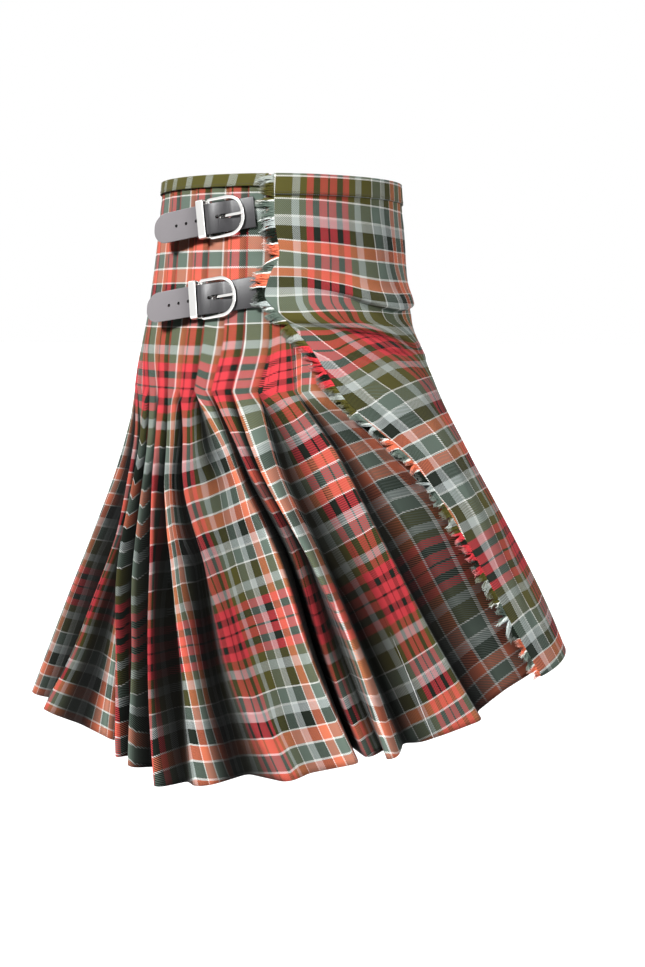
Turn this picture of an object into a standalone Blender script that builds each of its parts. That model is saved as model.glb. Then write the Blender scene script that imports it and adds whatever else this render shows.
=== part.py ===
"""A worn tartan kilt, hollow, as if filled out by a wearer who is not there.

Frame: metres, +Z up, origin at the middle of the waist opening.  The kilt's front
faces -Y and the wearer's right side is -X.  Angles round the body are in degrees
from the wearer's right side: positive towards the front, negative towards the back.

The cloth is one long wrap.  It is drawn as rails, which are folds and valleys that
run from the waist to the hem.  Each rail has an angle and a distance out from a
smooth body form at the waist, the yoke, the fell (where the sewn pleats end) and
four stations below it.  A wall is the sheet through the rails, given a thickness.
"""
import math

import bmesh
import bpy
import numpy as np

# ---------------------------------------------------------------- driving sizes
WALL = 0.0016            # cloth wall
SEAM_GAP = 0.0003        # between pieces that touch
SEAM_PART = 0.5          # a seam lies half way between two rails
YOKE_Z = -0.166          # half way down the sewn part
FELL_Z = -0.223          # lower end of the sewn part
TOOTH = 0.0026           # height of one sewn pleat's folded edge over the next
TOOTH_DEPTH = 0.0002     # how far the cloth dips under that edge
TOP_SQUASH = 0.80        # how much of the tooth is left under the waistband
STEP_ANGLE = 0.50        # degrees the cloth runs on under the next folded edge
REGULAR_PLEATS = 12      # hidden pleats between the back table's first row and the left hip
LEFT_HIP = -188.0        # first folded edge, under the over apron's left edge
TUCK = 1.5               # degrees the cloth runs on before that first folded edge
TUCK_OUT = (-0.001, -0.001, -0.004, -0.006, -0.007)   # its distance out at the fell and the stations
SEAM_PLEATS = (6, REGULAR_PLEATS + 2)   # pleats_left and pleats_back end after this many pleats
BAND_PART = 0.3          # degrees between the two waistbands on the left hip

# The smooth body form: height, half width at the sides, at the front, at the back.
FORM = np.array([
    # z      side   front  back
    (0.010, 0.1575, 0.1285, 0.1315),
    (-0.070, 0.1640, 0.1345, 0.1400),
    (-0.140, 0.1720, 0.1385, 0.1505),
    (-0.196, 0.1810, 0.1600, 0.1625),
    (-0.240, 0.1880, 0.1780, 0.1700),
    (-0.300, 0.2020, 0.2090, 0.1850),
    (-0.460, 0.2450, 0.2920, 0.2500),
    (-0.620, 0.2900, 0.3660, 0.3150)])

# Height of the hem against the hem angle.
HEM = np.array([
    # angle   z
    (-195.0, -0.578), (-110.0, -0.576), (-55.0, -0.574), (-38.0, -0.579), (-24.0, -0.597),
    (-14.0, -0.615), (9.0, -0.604), (22.0, -0.586), (34.0, -0.580), (46.0, -0.557),
    (66.0, -0.528), (90.0, -0.523), (135.0, -0.545), (195.0, -0.578)])

# Stations below the fell, as fractions of the way to the hem.
STATIONS = (0.0, 0.20, 0.47, 0.74, 1.0)

# The folds that show, from the back round to the front: a ridge row and then the
# valley row after it.  Angles at the waist, yoke, fell and the four stations; then
# the distance out in millimetres at the four stations.
FOLDS = (
    # name, waist, yoke, fell,  0.20,  0.47,  0.74,   hem,   out 0.20, 0.47, 0.74, hem
    ("a0", -88.0, -84.0, -77.0, -76.0, -74.0, -73.0, -71.7, 0, 0, 0, 0),
    ("v", 0, 0, 0, -67.0, -59.0, -56.0, -58.0, -12, -28, -36, -40),
    ("b0", -80.5, -76.0, -69.0, -61.5, -50.5, -49.0, -54.3, -7, -8, -2, 0),
    ("v", 0, 0, 0, -57.5, -47.0, -42.5, -40.0, -15, -21, -19, -13),
    ("a1", -73.5, -69.0, -61.2, -54.0, -44.0, -37.0, -32.0, -10, -16, -18, -18),
    ("v", 0, 0, 0, -51.0, -41.2, -33.0, -27.8, -17, -26, -30, -31),
    ("b1", -66.0, -62.0, -53.7, -48.5, -41.5, -31.5, -24.8, 0, 1, 1, 0),
    ("v", 0, 0, 0, -45.5, -37.5, -28.0, -23.2, -14, -24, -29, -30),
    ("a2", -58.7, -54.5, -46.8, -42.0, -34.5, -26.0, -21.6, 0, 0, 1, 0),
    ("v", 0, 0, 0, -39.3, -31.0, -23.0, -18.2, -16, -28, -36, -38),
    ("b2", -49.2, -45.0, -40.7, -36.5, -27.0, -20.0, -14.0, 0, 2, 6, 9),
    ("v", 0, 0, 0, -33.8, -23.5, -15.0, -8.4, -14, -22, -20, -13),
    ("a3", -39.8, -36.5, -34.4, -31.0, -20.0, -12.0, -6.5, 0, 0, 0, 0),
    ("v", 0, 0, 0, -27.0, -14.5, -6.5, 1.8, -22, -36, -40, -38),
    ("b3", -29.4, -28.0, -28.0, -22.5, -9.5, -1.0, 8.9, -7, -9, -5, 3),
    ("v", 0, 0, 0, -15.0, -3.0, 6.0, 12.9, -13, -15, -14, -10),
    ("a4", -20.2, -19.5, -21.4, -5.5, 8.5, 14.3, 20.6, 0, 2, 4, 5),
    ("v", 0, 0, 0, -1.8, 11.5, 17.0, 22.6, -16, -38, -46, -48),
    ("b4", -11.2, -10.8, -14.3, 0.4, 13.4, 18.8, 24.2, -4, -24, -22, -9),
    ("v", 0, 0, 0, 3.2, 15.6, 21.5, 27.0, -18, -34, -34, -26),
    ("a5", -1.9, -2.3, -6.3, 5.8, 17.4, 24.0, 26.6, 2, 6, 8, 9),
    ("v", 0, 0, 0, 12.0, 23.0, 29.0, 32.5, -14, -25, -30, -30))

# The last deep pleats beside the frayed edge, then the flat wrap under the over apron.
UNDER_FOLDS = (
    # name, waist, yoke, fell, 0.20,  0.47,  0.74,   hem,   out at fell, 0.20, 0.47, 0.74, hem
    ("start", 8.2, 7.4, 2.9, 14.6, 25.2, 31.0, 34.6, 2.6, -12, -23, -27, -27),
    ("face", 11.8, 11.0, 8.5, 20.5, 29.4, 35.0, 39.4, 1.8, -6, -12, -16, -17),
    ("edge", 15.5, 15.0, 15.0, 28.2, 35.6, 41.2, 46.9, 1.8, -2, -1, 0, 2),
    ("dip", 17.0, 16.5, 16.0, 29.2, 36.8, 42.6, 48.6, -1.6, -9, -12, -15, -17),
    ("panel", 20.0, 20.0, 18.0, 33.5, 45.5, 52.0, 57.0, -1.8, -7, -10, -13, -15),
    ("pipe", 23.0, 23.0, 20.0, 39.5, 56.5, 61.5, 66.0, 0.6, -3, -6, -9, -10),
    ("flat", 28.0, 28.0, 26.0, 45.0, 63.0, 70.0, 75.0, -2.4, -7, -8, -10, -11))
UNDER_FLAT_RAILS = 10    # more rails to the under apron's free edge
UNDER_END = 160.0        # angle of that free edge at the waist and the hem
UNDER_INSET = 0.0060     # the flat part lies this far inside the body form at the hem
UNDER_INSET_SEWN = 0.0024    # and this far inside it down to the fell

# The over apron's frayed edge: height and angle.
APRON_EDGE = np.array([
    # z       angle
    (0.010, 9.0), (-0.044, 9.1), (-0.083, 11.3), (-0.100, 8.0), (-0.124, 5.5),
    (-0.148, 13.4), (-0.176, 22.0), (-0.211, 28.4), (-0.232, 32.3), (-0.302, 50.5),
    (-0.353, 56.4), (-0.411, 59.6), (-0.467, 62.1), (-0.530, 65.8)])
APRON_LEFT = 172.0       # angle of its other edge, on the left hip
APRON_RAILS = 22
APRON_LIFT = 0.0049      # how far its two edges lie over the pleats
LIFT_REACH = 34.0        # degrees over which the lift dies away
HIP_FOLD_Z = -0.140      # the fold over the hip joint, where the apron's cloth hangs over
HIP_FOLD_OUT = 0.0045

BAND_HEIGHT_PLEATS = 0.012
BAND_HEIGHT_APRON = 0.021
BAND_WALL = 0.0012
BAND_TOP = 0.0008        # the band stands this far above the cloth
BAND_SLACK = 0.0004      # more room between the band and the cloth's corners
BAND_END = 6.6           # angle of the pleats' band where the over apron begins

FRINGE_STRANDS = 104
FRINGE_STRIP = 0.0022    # width of the backing strip
FRINGE_LENGTH = 0.0155
FRINGE_THICK = 0.0014
FRINGE_ENDS = (0.0010, 0.0015)       # the strip stops this far short of the waist and the hem
FRINGE_GAP = 0.0008      # from the apron's edge, which has corners, to the strip

# Straps and buckles on the right hip: angle and height of the buckle's bar.
STRAP_WIDTH = 0.032
STRAP_THICK = 0.0024
STRAP_LEAVE = -0.012     # past this run from the bar it leaves the body
STRAP_TILT = math.radians(7.2)       # rise towards the front
FASTENINGS = (
    # name, bar angle, bar height, hidden end from the bar, free end from the bar, mirrored
    ("upper", -18.6, -0.0455, 0.056, -0.074, False),
    ("lower", -20.2, -0.1290, 0.068, -0.074, False),
    ("left", -18.6, -0.0455, 0.056, -0.060, True))
HOLES = (-0.0405, -0.0272, -0.0138, 0.0115)
HOLE_DIAMETER = 0.0036
PRONG_SLOT = (0.0130, 0.0260, 0.0052)     # from, to, width
BUCKLE_LENGTH = 0.041
BUCKLE_HEIGHT = 0.043
BUCKLE_WIRE = 0.0038
BUCKLE_THICK = 0.0020
BUCKLE_CORNER = 0.0165   # radius of the D's round side
PRONG_WIDTH = 0.0028
TAB_WIDTH = 0.027
TAB_ENDS = (-0.032, -0.026, -0.020)    # run of the tab's tail on the pleats
HOOK = 0.0009            # thickness of what loops round the bar
BAR_BOTTOM = 0.0026      # height of the buckle's wire over the cloth under it
KEEPER = (-0.0100, -0.0015, 0.0405)       # from, to, height
FLAT_AT = 0.016          # the buckle lies flat against the body here, from the bar
PLEAT_OUT = 0.0038       # the fastenings lie on this height of the pleats


# ---------------------------------------------------------------- curves and the body form
def smooth(x, xs, ys):
    """Monotone cubic through (xs, ys): no overshoot between two table rows."""
    x = np.atleast_1d(np.asarray(x, float))
    xs = np.asarray(xs, float)
    ys = np.asarray(ys, float)
    step = np.diff(xs)
    rise = np.diff(ys) / step
    same = rise[:-1] * rise[1:] > 0
    inner = np.where(same, 2.0 / np.where(same, 1.0 / np.where(same, rise[:-1], 1.0)
                                          + 1.0 / np.where(same, rise[1:], 1.0), 1.0), 0.0)
    slope = np.concatenate([[rise[0]], inner, [rise[-1]]])
    k = np.clip(np.searchsorted(xs, x) - 1, 0, len(xs) - 2)
    t = np.clip((x - xs[k]) / step[k], 0.0, 1.0)
    a = 2 * t ** 3 - 3 * t ** 2 + 1
    b = t ** 3 - 2 * t ** 2 + t
    c = t ** 3 - t ** 2
    return a * ys[k] + b * step[k] * slope[k] + (1 - a) * ys[k + 1] + c * step[k] * slope[k + 1]


def half_axes(z):
    """Half widths of the body form at height z: side, front, back."""
    depth = -FORM[:, 0]
    return [smooth(-np.asarray(z, float), depth, FORM[:, k]) for k in (1, 2, 3)]


def body_point(angle, z, out=0.0):
    """The point at an angle and height, a distance out from the body form."""
    side, front, back = half_axes(z)
    turn = np.radians(angle)
    along = np.where(np.sin(turn) > 0, front, back)
    x = -(side + out) * np.cos(turn)
    y = -(along + out) * np.sin(turn)
    return np.stack(np.broadcast_arrays(x, y, np.asarray(z, float)), -1)


def hem_height(angle):
    return smooth(angle, HEM[:, 0], HEM[:, 1])


# ---------------------------------------------------------------- rails
UPPER_LEVELS = (0.0, -0.012, -0.045, -0.085, -0.125, YOKE_Z, -0.198)
LOWER_STATIONS = (0.0, 0.06, 0.13, 0.20, 0.33, 0.47, 0.60, 0.74, 0.88, 1.0)


class Rail:
    """One fold or valley line: angles and distances out from the waist to the hem."""

    def __init__(self, angles, sewn_out, loose_out):
        self.waist, self.yoke, self.fell = angles[:3]
        self.loose = angles[3:]
        self.sewn_out = sewn_out
        self.loose_out = loose_out

    def points(self):
        """Rail points: the sewn levels, then the stations below the fell."""
        z_up = np.array(UPPER_LEVELS)
        angle_up = smooth(-z_up, (0.0, -YOKE_Z, -FELL_Z), (self.waist, self.yoke, self.fell))
        squash = smooth(-z_up, (0.0, 0.014, 0.035), (TOP_SQUASH, TOP_SQUASH, 1.0))
        out_up = self.sewn_out * np.where(self.sewn_out > 0, squash, 1.0)
        part = np.array(LOWER_STATIONS)
        angle_low = smooth(part, STATIONS, (self.fell,) + tuple(self.loose))
        out_low = smooth(part, STATIONS, (self.sewn_out,) + tuple(self.loose_out))
        z_low = FELL_Z + part * (hem_height(self.loose[-1]) - FELL_Z)
        return body_point(np.concatenate([angle_up, angle_low]),
                          np.concatenate([z_up, z_low]),
                          np.concatenate([out_up, out_low]))


def between(first, second, part, first_out, second_out, part_out):
    """Angles and distances part of the way from one rail to the next."""
    angles = [a + part * (b - a) for a, b in zip(first, second)]
    outs = [a + part_out * (b - a) for a, b in zip(first_out, second_out)]
    return angles, outs


def regular_folds():
    """The hidden pleats from the left hip round the back: ridge and valley rows by rule."""
    first = FOLDS[0]
    rows = []
    for k in range(REGULAR_PLEATS, 0, -1):
        part = k / REGULAR_PLEATS
        sway = 0.9 * math.sin(2.4 * k + 0.6)
        ridge = [a + part * (LEFT_HIP - a) for a in first[1:8]]
        ridge[6] += sway
        ridge[5] += 0.6 * sway
        pitch = (first[7] - LEFT_HIP) / REGULAR_PLEATS
        deep = 44 + 6 * math.sin(1.7 * k)
        crest = 1.5 * math.sin(2.9 * k + 1.0)
        out = (0.0, 0.3 * crest, 0.7 * crest - 1.0, crest - 2.5)
        valley = [a + pitch * lean for a, lean in zip(ridge[3:], (0.62, 0.56, 0.56, 0.56))]
        rows.append(("r%d" % k, *ridge, *out))
        rows.append(("v", 0, 0, 0, *valley, -0.26 * deep, -0.55 * deep, -0.82 * deep, -deep))
    return rows


def pleat_rails(rows, next_ridge):
    """Four rails for each pleat: folded edge, crest, slope and valley.

    In the sewn part they make a saw tooth: the face falls from its folded edge and
    dips under the next folded edge, where the valley rail turns back."""
    rails = []
    for ridge, valley in zip(rows[0::2], rows[1::2]):
        k = rows.index(ridge)
        follow = rows[k + 2] if k + 2 < len(rows) else next_ridge
        edge = list(ridge[1:8])
        edge_out = [v / 1000 for v in ridge[8:12]]
        deep = list(valley[4:8])
        deep_out = [v / 1000 for v in valley[8:12]]
        ahead = list(follow[1:4])
        crest_low, crest_out = between(edge[3:], deep, 0.34, edge_out, deep_out, 0.12)
        slope_low, slope_out = between(edge[3:], deep, 0.72, edge_out, deep_out, 0.62)
        middle = [0.5 * (a + b) for a, b in zip(edge[:3], ahead)]
        rails.append(Rail(edge, TOOTH, edge_out))
        rails.append(Rail(middle + crest_low, 0.62 * TOOTH, crest_out))
        rails.append(Rail([a - 0.25 for a in ahead] + slope_low, 0.25 * TOOTH, slope_out))
        rails.append(Rail([a + STEP_ANGLE for a in ahead] + deep, -TOOTH_DEPTH, deep_out))
    return rails


def fold_rail(row):
    return Rail(list(row[1:8]), row[8] / 1000, [v / 1000 for v in row[9:13]])


def under_rails():
    """The deep pleat beside the frayed edge and the flat wrap up to its free edge."""
    rails = [fold_rail(row) for row in UNDER_FOLDS]
    last = UNDER_FOLDS[-1]
    for k in range(1, UNDER_FLAT_RAILS + 1):
        part = k / UNDER_FLAT_RAILS
        angles = [a + part * (UNDER_END - a) for a in last[1:8]]
        inner = [v / 1000 + min(1.0, 3 * part) * (-UNDER_INSET - v / 1000) for v in last[9:13]]
        rails.append(Rail(angles, -UNDER_INSET_SEWN, inner))
    return rails


def apron_angle(z):
    return smooth(-np.asarray(z, float), -APRON_EDGE[:, 0], APRON_EDGE[:, 1])


def apron_sheet():
    """Grid of the over apron: rows from waist to hem, columns from the frayed edge."""
    across = np.linspace(0.0, 1.0, APRON_RAILS)
    down = np.array([0.0, 0.018, 0.04, 0.075, 0.12, 0.16, 0.19, 0.225, 0.25, 0.275, 0.31, 0.36,
                     0.41, 0.48, 0.56, 0.66, 0.77, 0.89, 1.0])
    low_angle = apron_angle(np.array([-0.530]))[0]
    hem_angle = low_angle + across * (APRON_LEFT + 3 - low_angle)
    z = down[:, None] * hem_height(hem_angle)[None, :]
    edge = apron_angle(z[:, 0])[:, None]
    end = APRON_LEFT + 3 * down[:, None] ** 2
    angle = edge + across[None, :] * (end - edge)
    shape = z.shape
    return body_point(angle.ravel(), z.ravel(),
                      apron_out(angle, z).ravel()).reshape(shape + (3,))


def apron_out(angle, z):
    """The apron lies over the pleats at both edges and bulges over the hip fold."""
    near_right = np.clip(1 - (angle - apron_angle(z.ravel()).reshape(z.shape)) / LIFT_REACH, 0, 1)
    near_left = np.clip(1 - (APRON_LEFT + 3 - angle) / LIFT_REACH, 0, 1)
    reach = np.maximum(near_right, near_left)
    lift = APRON_LIFT * reach ** 2 * (3 - 2 * reach)
    fold = HIP_FOLD_OUT * np.exp(-((z - HIP_FOLD_Z) / 0.017) ** 2)
    return lift + fold


# ---------------------------------------------------------------- mesh building
def section_offsets(xy):
    """Unit mitre directions of one open section, pointing to the right of its run."""
    step = np.diff(xy, axis=0)
    step /= np.linalg.norm(step, axis=1)[:, None]
    side = np.stack([step[:, 1], -step[:, 0]], -1)
    first = np.vstack([side[:1], side])
    second = np.vstack([side, side[-1:]])
    mid = first + second
    length = np.maximum(np.linalg.norm(mid, axis=1), 1e-6)
    mid /= length[:, None]
    reach = 1.0 / np.maximum((mid * first).sum(1), 0.50)
    return mid * reach[:, None]


def wall_from_grid(name, grid, thickness, material):
    """A wall of even thickness round a grid of middle points, rows from top to bottom.

    Each row is moved out and in along its own plan mitres; the two skins are joined
    along the top, the bottom and both ends."""
    rows, columns = grid.shape[:2]
    outer = grid.copy()
    inner = grid.copy()
    for k in range(rows):
        move = section_offsets(grid[k, :, :2]) * thickness / 2
        outside = 1.0 if (move * grid[k, :, :2]).sum() > 0 else -1.0
        outer[k, :, :2] += outside * move
        inner[k, :, :2] -= outside * move
    count = rows * columns
    verts = np.concatenate([outer.reshape(-1, 3), inner.reshape(-1, 3)])
    faces = []
    for i in range(rows - 1):
        for j in range(columns - 1):
            a, b = i * columns + j, (i + 1) * columns + j
            faces.append((a, b, b + 1, a + 1))
            faces.append((count + a, count + a + 1, count + b + 1, count + b))
    for j in range(columns - 1):
        a, b = j, (rows - 1) * columns + j
        faces.append((a, a + 1, count + a + 1, count + a))
        faces.append((b, count + b, count + b + 1, b + 1))
    for i in range(rows - 1):
        a, b = i * columns, (i + 1) * columns
        faces.append((a, count + a, count + b, b))
        a, b = a + columns - 1, b + columns - 1
        faces.append((a, b, count + b, count + a))
    return add_mesh(name, verts, faces, material)


def add_mesh(name, verts, faces, material):
    """Make an object from points and faces, with all faces turned outwards."""
    mesh = bpy.data.meshes.new(name)
    mesh.from_pydata([tuple(map(float, v)) for v in verts], [], faces)
    body = bmesh.new()
    body.from_mesh(mesh)
    bmesh.ops.triangulate(body, faces=body.faces[:])
    bmesh.ops.recalc_face_normals(body, faces=body.faces[:])
    if body.calc_volume(signed=True) < 0:
        bmesh.ops.reverse_faces(body, faces=body.faces[:])
    body.to_mesh(mesh)
    body.free()
    mesh.materials.append(material)
    mesh.shade_smooth()
    mesh.set_sharp_from_angle(angle=math.radians(40))
    thing = bpy.data.objects.new(name, mesh)
    bpy.context.scene.collection.objects.link(thing)
    return thing


def material(name, colour, roughness, metallic=0.0):
    made = bpy.data.materials.new(name)
    made.use_nodes = True
    shader = made.node_tree.nodes["Principled BSDF"]
    shader.inputs["Base Color"].default_value = (*colour, 1.0)
    shader.inputs["Roughness"].default_value = roughness
    shader.inputs["Metallic"].default_value = metallic
    return made


# ---------------------------------------------------------------- cloth pieces
def grid_of(rails):
    return np.stack([rail.points() for rail in rails], axis=1)


def seam_end(grid, first, part):
    """End a grid part of the way along its first or last run, half a seam gap short."""
    a, b = (0, 1) if first else (-1, -2)
    run = grid[:, b] - grid[:, a]
    length = np.linalg.norm(run, axis=1)[:, None]
    grid[:, a] += run * (part + SEAM_GAP / 2 / length)


def make_pleats(cloth):
    """The pleats as three walls, parted along crests with a seam gap."""
    rows = regular_folds() + list(FOLDS)
    rails = pleat_rails(rows, UNDER_FOLDS[0]) + [fold_rail(row) for row in UNDER_FOLDS[:2]]
    rails.insert(0, Rail([a - TUCK for a in rows[0][1:8]], TUCK_OUT[0], TUCK_OUT[1:]))
    left_end, back_end = (2 + 4 * count for count in SEAM_PLEATS)
    parts = (("pleats_left", 0, left_end + 2), ("pleats_back", left_end, back_end + 2),
             ("pleats_right", back_end, len(rails)))
    for name, start, stop in parts:
        grid = grid_of(rails[start:stop])
        if start:
            seam_end(grid, True, SEAM_PART)
        seam_end(grid, False, 1 - SEAM_PART)
        wall_from_grid(name, grid, WALL, cloth)


def make_under_apron(cloth):
    grid = grid_of(under_rails())
    seam_end(grid, True, SEAM_PART)
    wall_from_grid("under_apron", grid, WALL, cloth)


def make_over_apron(cloth):
    wall_from_grid("over_apron", apron_sheet(), WALL, cloth)


def make_waistbands(cloth):
    """A strip round the top edge of the pleats, and a deeper one round the over apron."""
    lift = TOP_SQUASH * TOOTH + WALL / 2 + SEAM_GAP + BAND_WALL / 2 + BAND_SLACK
    levels = np.array([BAND_TOP, -0.5 * BAND_HEIGHT_PLEATS, -BAND_HEIGHT_PLEATS])
    angles = np.linspace(LEFT_HIP + BAND_PART, BAND_END, 48)
    grid = np.stack([body_point(angles, np.full_like(angles, z), lift) for z in levels])
    wall_from_grid("waistband_pleats", grid, BAND_WALL, cloth)
    levels = np.array([BAND_TOP, -0.5 * BAND_HEIGHT_APRON, -BAND_HEIGHT_APRON])
    angles = np.linspace(APRON_EDGE[0, 1], APRON_LEFT, 2 * APRON_RAILS)
    lift = WALL / 2 + SEAM_GAP + BAND_WALL / 2 + BAND_SLACK / 2
    grid = np.stack([body_point(angles, np.full_like(angles, z),
                                apron_out(angles, np.full_like(angles, z)) + lift)
                     for z in levels])
    wall_from_grid("waistband_apron", grid, BAND_WALL, cloth)


def make_fringe(cloth):
    """The frayed edge: a narrow backing strip with a row of tapered locks.

    The strip's free edge is cut into cells; every second cell is drawn out into a
    lock that bends down and thins to a blunt tip."""
    cells = 2 * FRINGE_STRANDS
    edge = apron_sheet()[:, 0]
    second = apron_sheet()[:, 1]
    run = np.concatenate([[0], np.cumsum(np.linalg.norm(np.diff(edge, axis=0), axis=1))])
    where = np.linspace(FRINGE_ENDS[0], run[-1] - FRINGE_ENDS[1], cells + 1)
    point = np.stack([np.interp(where, run, edge[:, k]) for k in range(3)], -1)
    inward = np.stack([smooth(where, run, (second - edge)[:, k]) for k in range(3)], -1)
    away = -inward / np.linalg.norm(inward, axis=1)[:, None]
    down = np.gradient(point, axis=0)
    down /= np.linalg.norm(down, axis=1)[:, None]
    face = np.cross(away, down)
    face *= np.sign((face * point * (1, 1, 0)).sum(1))[:, None]
    root = point + away * FRINGE_GAP
    edge_points = root + away * FRINGE_STRIP
    half = face * FRINGE_THICK / 2
    verts = list(np.concatenate([root + half, root - half, edge_points + half, edge_points - half]))
    n = cells + 1
    faces = []
    for k in range(cells):
        faces.append((k, k + 1, 2 * n + k + 1, 2 * n + k))
        faces.append((n + k + 1, n + k, 3 * n + k, 3 * n + k + 1))
        faces.append((k + 1, k, n + k, n + k + 1))
        cell = (2 * n + k, 2 * n + k + 1, 3 * n + k + 1, 3 * n + k)
        if k % 2:
            faces.append(cell)
            continue
        ring = list(cell)
        base = np.array([verts[i] for i in ring])
        middle = base.mean(0)
        length = FRINGE_LENGTH * (1 + 0.22 * math.sin(2.1 * k) + 0.12 * math.sin(0.37 * k))
        sway = 0.10 * math.sin(1.3 * k)
        for part, width, drop, rise in ((0.5, 0.85, 0.10, 0.04), (1.0, 0.35, 0.30 + sway, 0.02)):
            centre = middle + length * (away[k] * part + down[k] * drop * part + face[k] * rise)
            start = len(verts)
            verts.extend(centre + (base - middle) * width)
            top = list(range(start, start + 4))
            for i in range(4):
                faces.append((ring[i], ring[(i + 1) % 4], top[(i + 1) % 4], top[i]))
            ring = top
        faces.append(tuple(ring))
    last = cells
    faces.append((0, 2 * n, 3 * n, n))
    faces.append((last, n + last, 3 * n + last, 2 * n + last))
    add_mesh("apron_fringe", np.array(verts), faces, cloth)


# ---------------------------------------------------------------- leather and metal
class Seat:
    """The place of one fastening: its bar's angle and height, and the flat buckle frame."""

    def __init__(self, angle, height, mirrored):
        self.angle = angle
        self.height = height
        self.mirrored = mirrored
        middle = self.on_body(FLAT_AT, 0.0, 0.0)
        ahead = self.on_body(FLAT_AT + 0.004, 0.0, 0.0) - self.on_body(FLAT_AT - 0.004, 0.0, 0.0)
        upward = self.on_body(FLAT_AT, 0.0, 0.010) - self.on_body(FLAT_AT, 0.0, -0.010)
        self.ahead = ahead / np.linalg.norm(ahead)
        self.out = np.cross(upward, self.ahead)
        self.out /= np.linalg.norm(self.out)
        if self.out @ (middle * (1, 1, 0)) < 0:
            self.out = -self.out
        self.up = np.cross(self.ahead, self.out)
        if self.up[2] < 0:
            self.up = -self.up
        self.origin = middle - self.ahead * FLAT_AT

    def on_body(self, along, out, rise):
        """A point on the pleats: along the tilted strap from the bar, out, and across."""
        z = self.height + math.sin(STRAP_TILT) * along + math.cos(STRAP_TILT) * rise
        radius = float(half_axes(z)[0][0]) + PLEAT_OUT
        level = math.cos(STRAP_TILT) * along - math.sin(STRAP_TILT) * rise
        angle = self.angle + math.degrees(level / radius)
        return body_point(angle, z, PLEAT_OUT + out)[0]

    def flat(self, along, out, rise):
        """A point in the flat buckle frame."""
        return self.origin + self.ahead * along + self.out * out + self.up * rise

    def place(self, points):
        """Mirror a finished set of points to the left hip where asked."""
        points = np.array(points, float)
        if self.mirrored:
            points[:, 0] *= -1
        return points


def strap_heights():
    """Height of the strap's middle over the pleats, against the run from the bar."""
    return ((-0.012, 0.0092), (0.0, 0.0090), (0.006, 0.0082), (0.012, 0.0066), (0.018, 0.0046),
            (0.024, 0.0026), (0.029, 0.0015), (0.036, 0.0014), (0.080, 0.0014))


def make_strap(seat, name, hidden_end, free_end, leather):
    """A flat strap: on the pleats at its hidden end, up over the bar, then straight off.

    Past the keeper it leaves the body along the tangent and ends in a rounded tip."""
    runs = np.array([h[0] for h in strap_heights()])
    highs = np.array([h[1] for h in strap_heights()])
    free = np.linspace(free_end, -0.014, 9)
    tip = free_end + STRAP_WIDTH / 2 * (1 - np.cos(np.radians((0, 25, 50, 75, 90))))
    along = np.concatenate([tip[:-1], free[free > tip[-1]],
                            np.linspace(STRAP_LEAVE, hidden_end, 15)])
    half = np.full(along.shape, STRAP_WIDTH / 2)
    round_part = np.clip((along - free_end) / (STRAP_WIDTH / 2), 0, 1)
    half *= 0.22 + 0.78 * np.sqrt(np.clip(1 - (1 - round_part) ** 2, 0, 1))
    leave = STRAP_LEAVE
    verts = []
    for u, w in zip(along, half):
        on = max(u, leave)
        out = float(smooth(on, runs, highs)[0])
        for rise in (w, -w):
            middle = seat.on_body(on, out, rise)
            before = seat.on_body(leave + 0.002, out, rise)
            tangent = seat.on_body(leave, out, rise) - before
            tangent /= np.linalg.norm(tangent)
            normal = seat.on_body(on, out + 0.001, rise) - middle
            normal /= np.linalg.norm(normal)
            middle = middle + tangent * (on - u)
            verts.append(middle + normal * STRAP_THICK / 2)
            verts.append(middle - normal * STRAP_THICK / 2)
    faces = []
    for k in range(len(along) - 1):
        a, b = 4 * k, 4 * k + 4
        faces.append((a, a + 2, b + 2, b))
        faces.append((a + 1, b + 1, b + 3, a + 3))
        faces.append((a, b, b + 1, a + 1))
        faces.append((a + 2, a + 3, b + 3, b + 2))
    faces.append((0, 1, 3, 2))
    end = 4 * (len(along) - 1)
    faces.append((end, end + 2, end + 3, end + 1))
    strap = add_mesh(name, seat.place(verts), faces, leather)
    for k, place in enumerate(HOLES):
        cut_slot(strap, seat, "%s_hole_%d" % (name, k), place, place, HOLE_DIAMETER,
                 leave, runs, highs)
    start, stop, width = PRONG_SLOT
    cut_slot(strap, seat, name + "_slot", start + width / 2, stop - width / 2, width,
             leave, runs, highs)
    return strap


def cut_slot(strap, seat, name, start, stop, width, leave, runs, highs):
    """Cut a round hole, or a round-ended slot, through the strap."""
    middle = (start + stop) / 2
    on = max(middle, leave)
    out = float(smooth(on, runs, highs)[0])
    here = seat.on_body(on, out, 0.0)
    tangent = seat.on_body(on, out, 0.0) - seat.on_body(on + 0.002, out, 0.0)
    tangent /= np.linalg.norm(tangent)
    normal = seat.on_body(on, out + 0.001, 0.0) - here
    normal /= np.linalg.norm(normal)
    here = here + tangent * (on - middle)
    up = np.cross(tangent, normal)
    ring = []
    for k in range(10):
        turn = 2 * math.pi * (k + 0.5) / 10
        shift = (start - stop) / 2 * (1 if math.cos(turn) < 0 else -1)
        ring.append((width / 2 * math.cos(turn) + shift, width / 2 * math.sin(turn)))
    verts = []
    for height in (-0.006, 0.006):
        verts.extend(here + tangent * a + up * b + normal * height for a, b in ring)
    n = len(ring)
    faces = [tuple(range(n)), tuple(range(2 * n - 1, n - 1, -1))]
    faces += [(k, (k + 1) % n, n + (k + 1) % n, n + k) for k in range(n)]
    cutter = add_mesh(name, seat.place(verts), faces, strap.data.materials[0])
    cutter.hide_render = True
    cutter.display_type = "WIRE"
    cut = strap.modifiers.new(name, "BOOLEAN")
    cut.operation = "DIFFERENCE"
    cut.solver = "EXACT"
    cut.object = cutter


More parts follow.
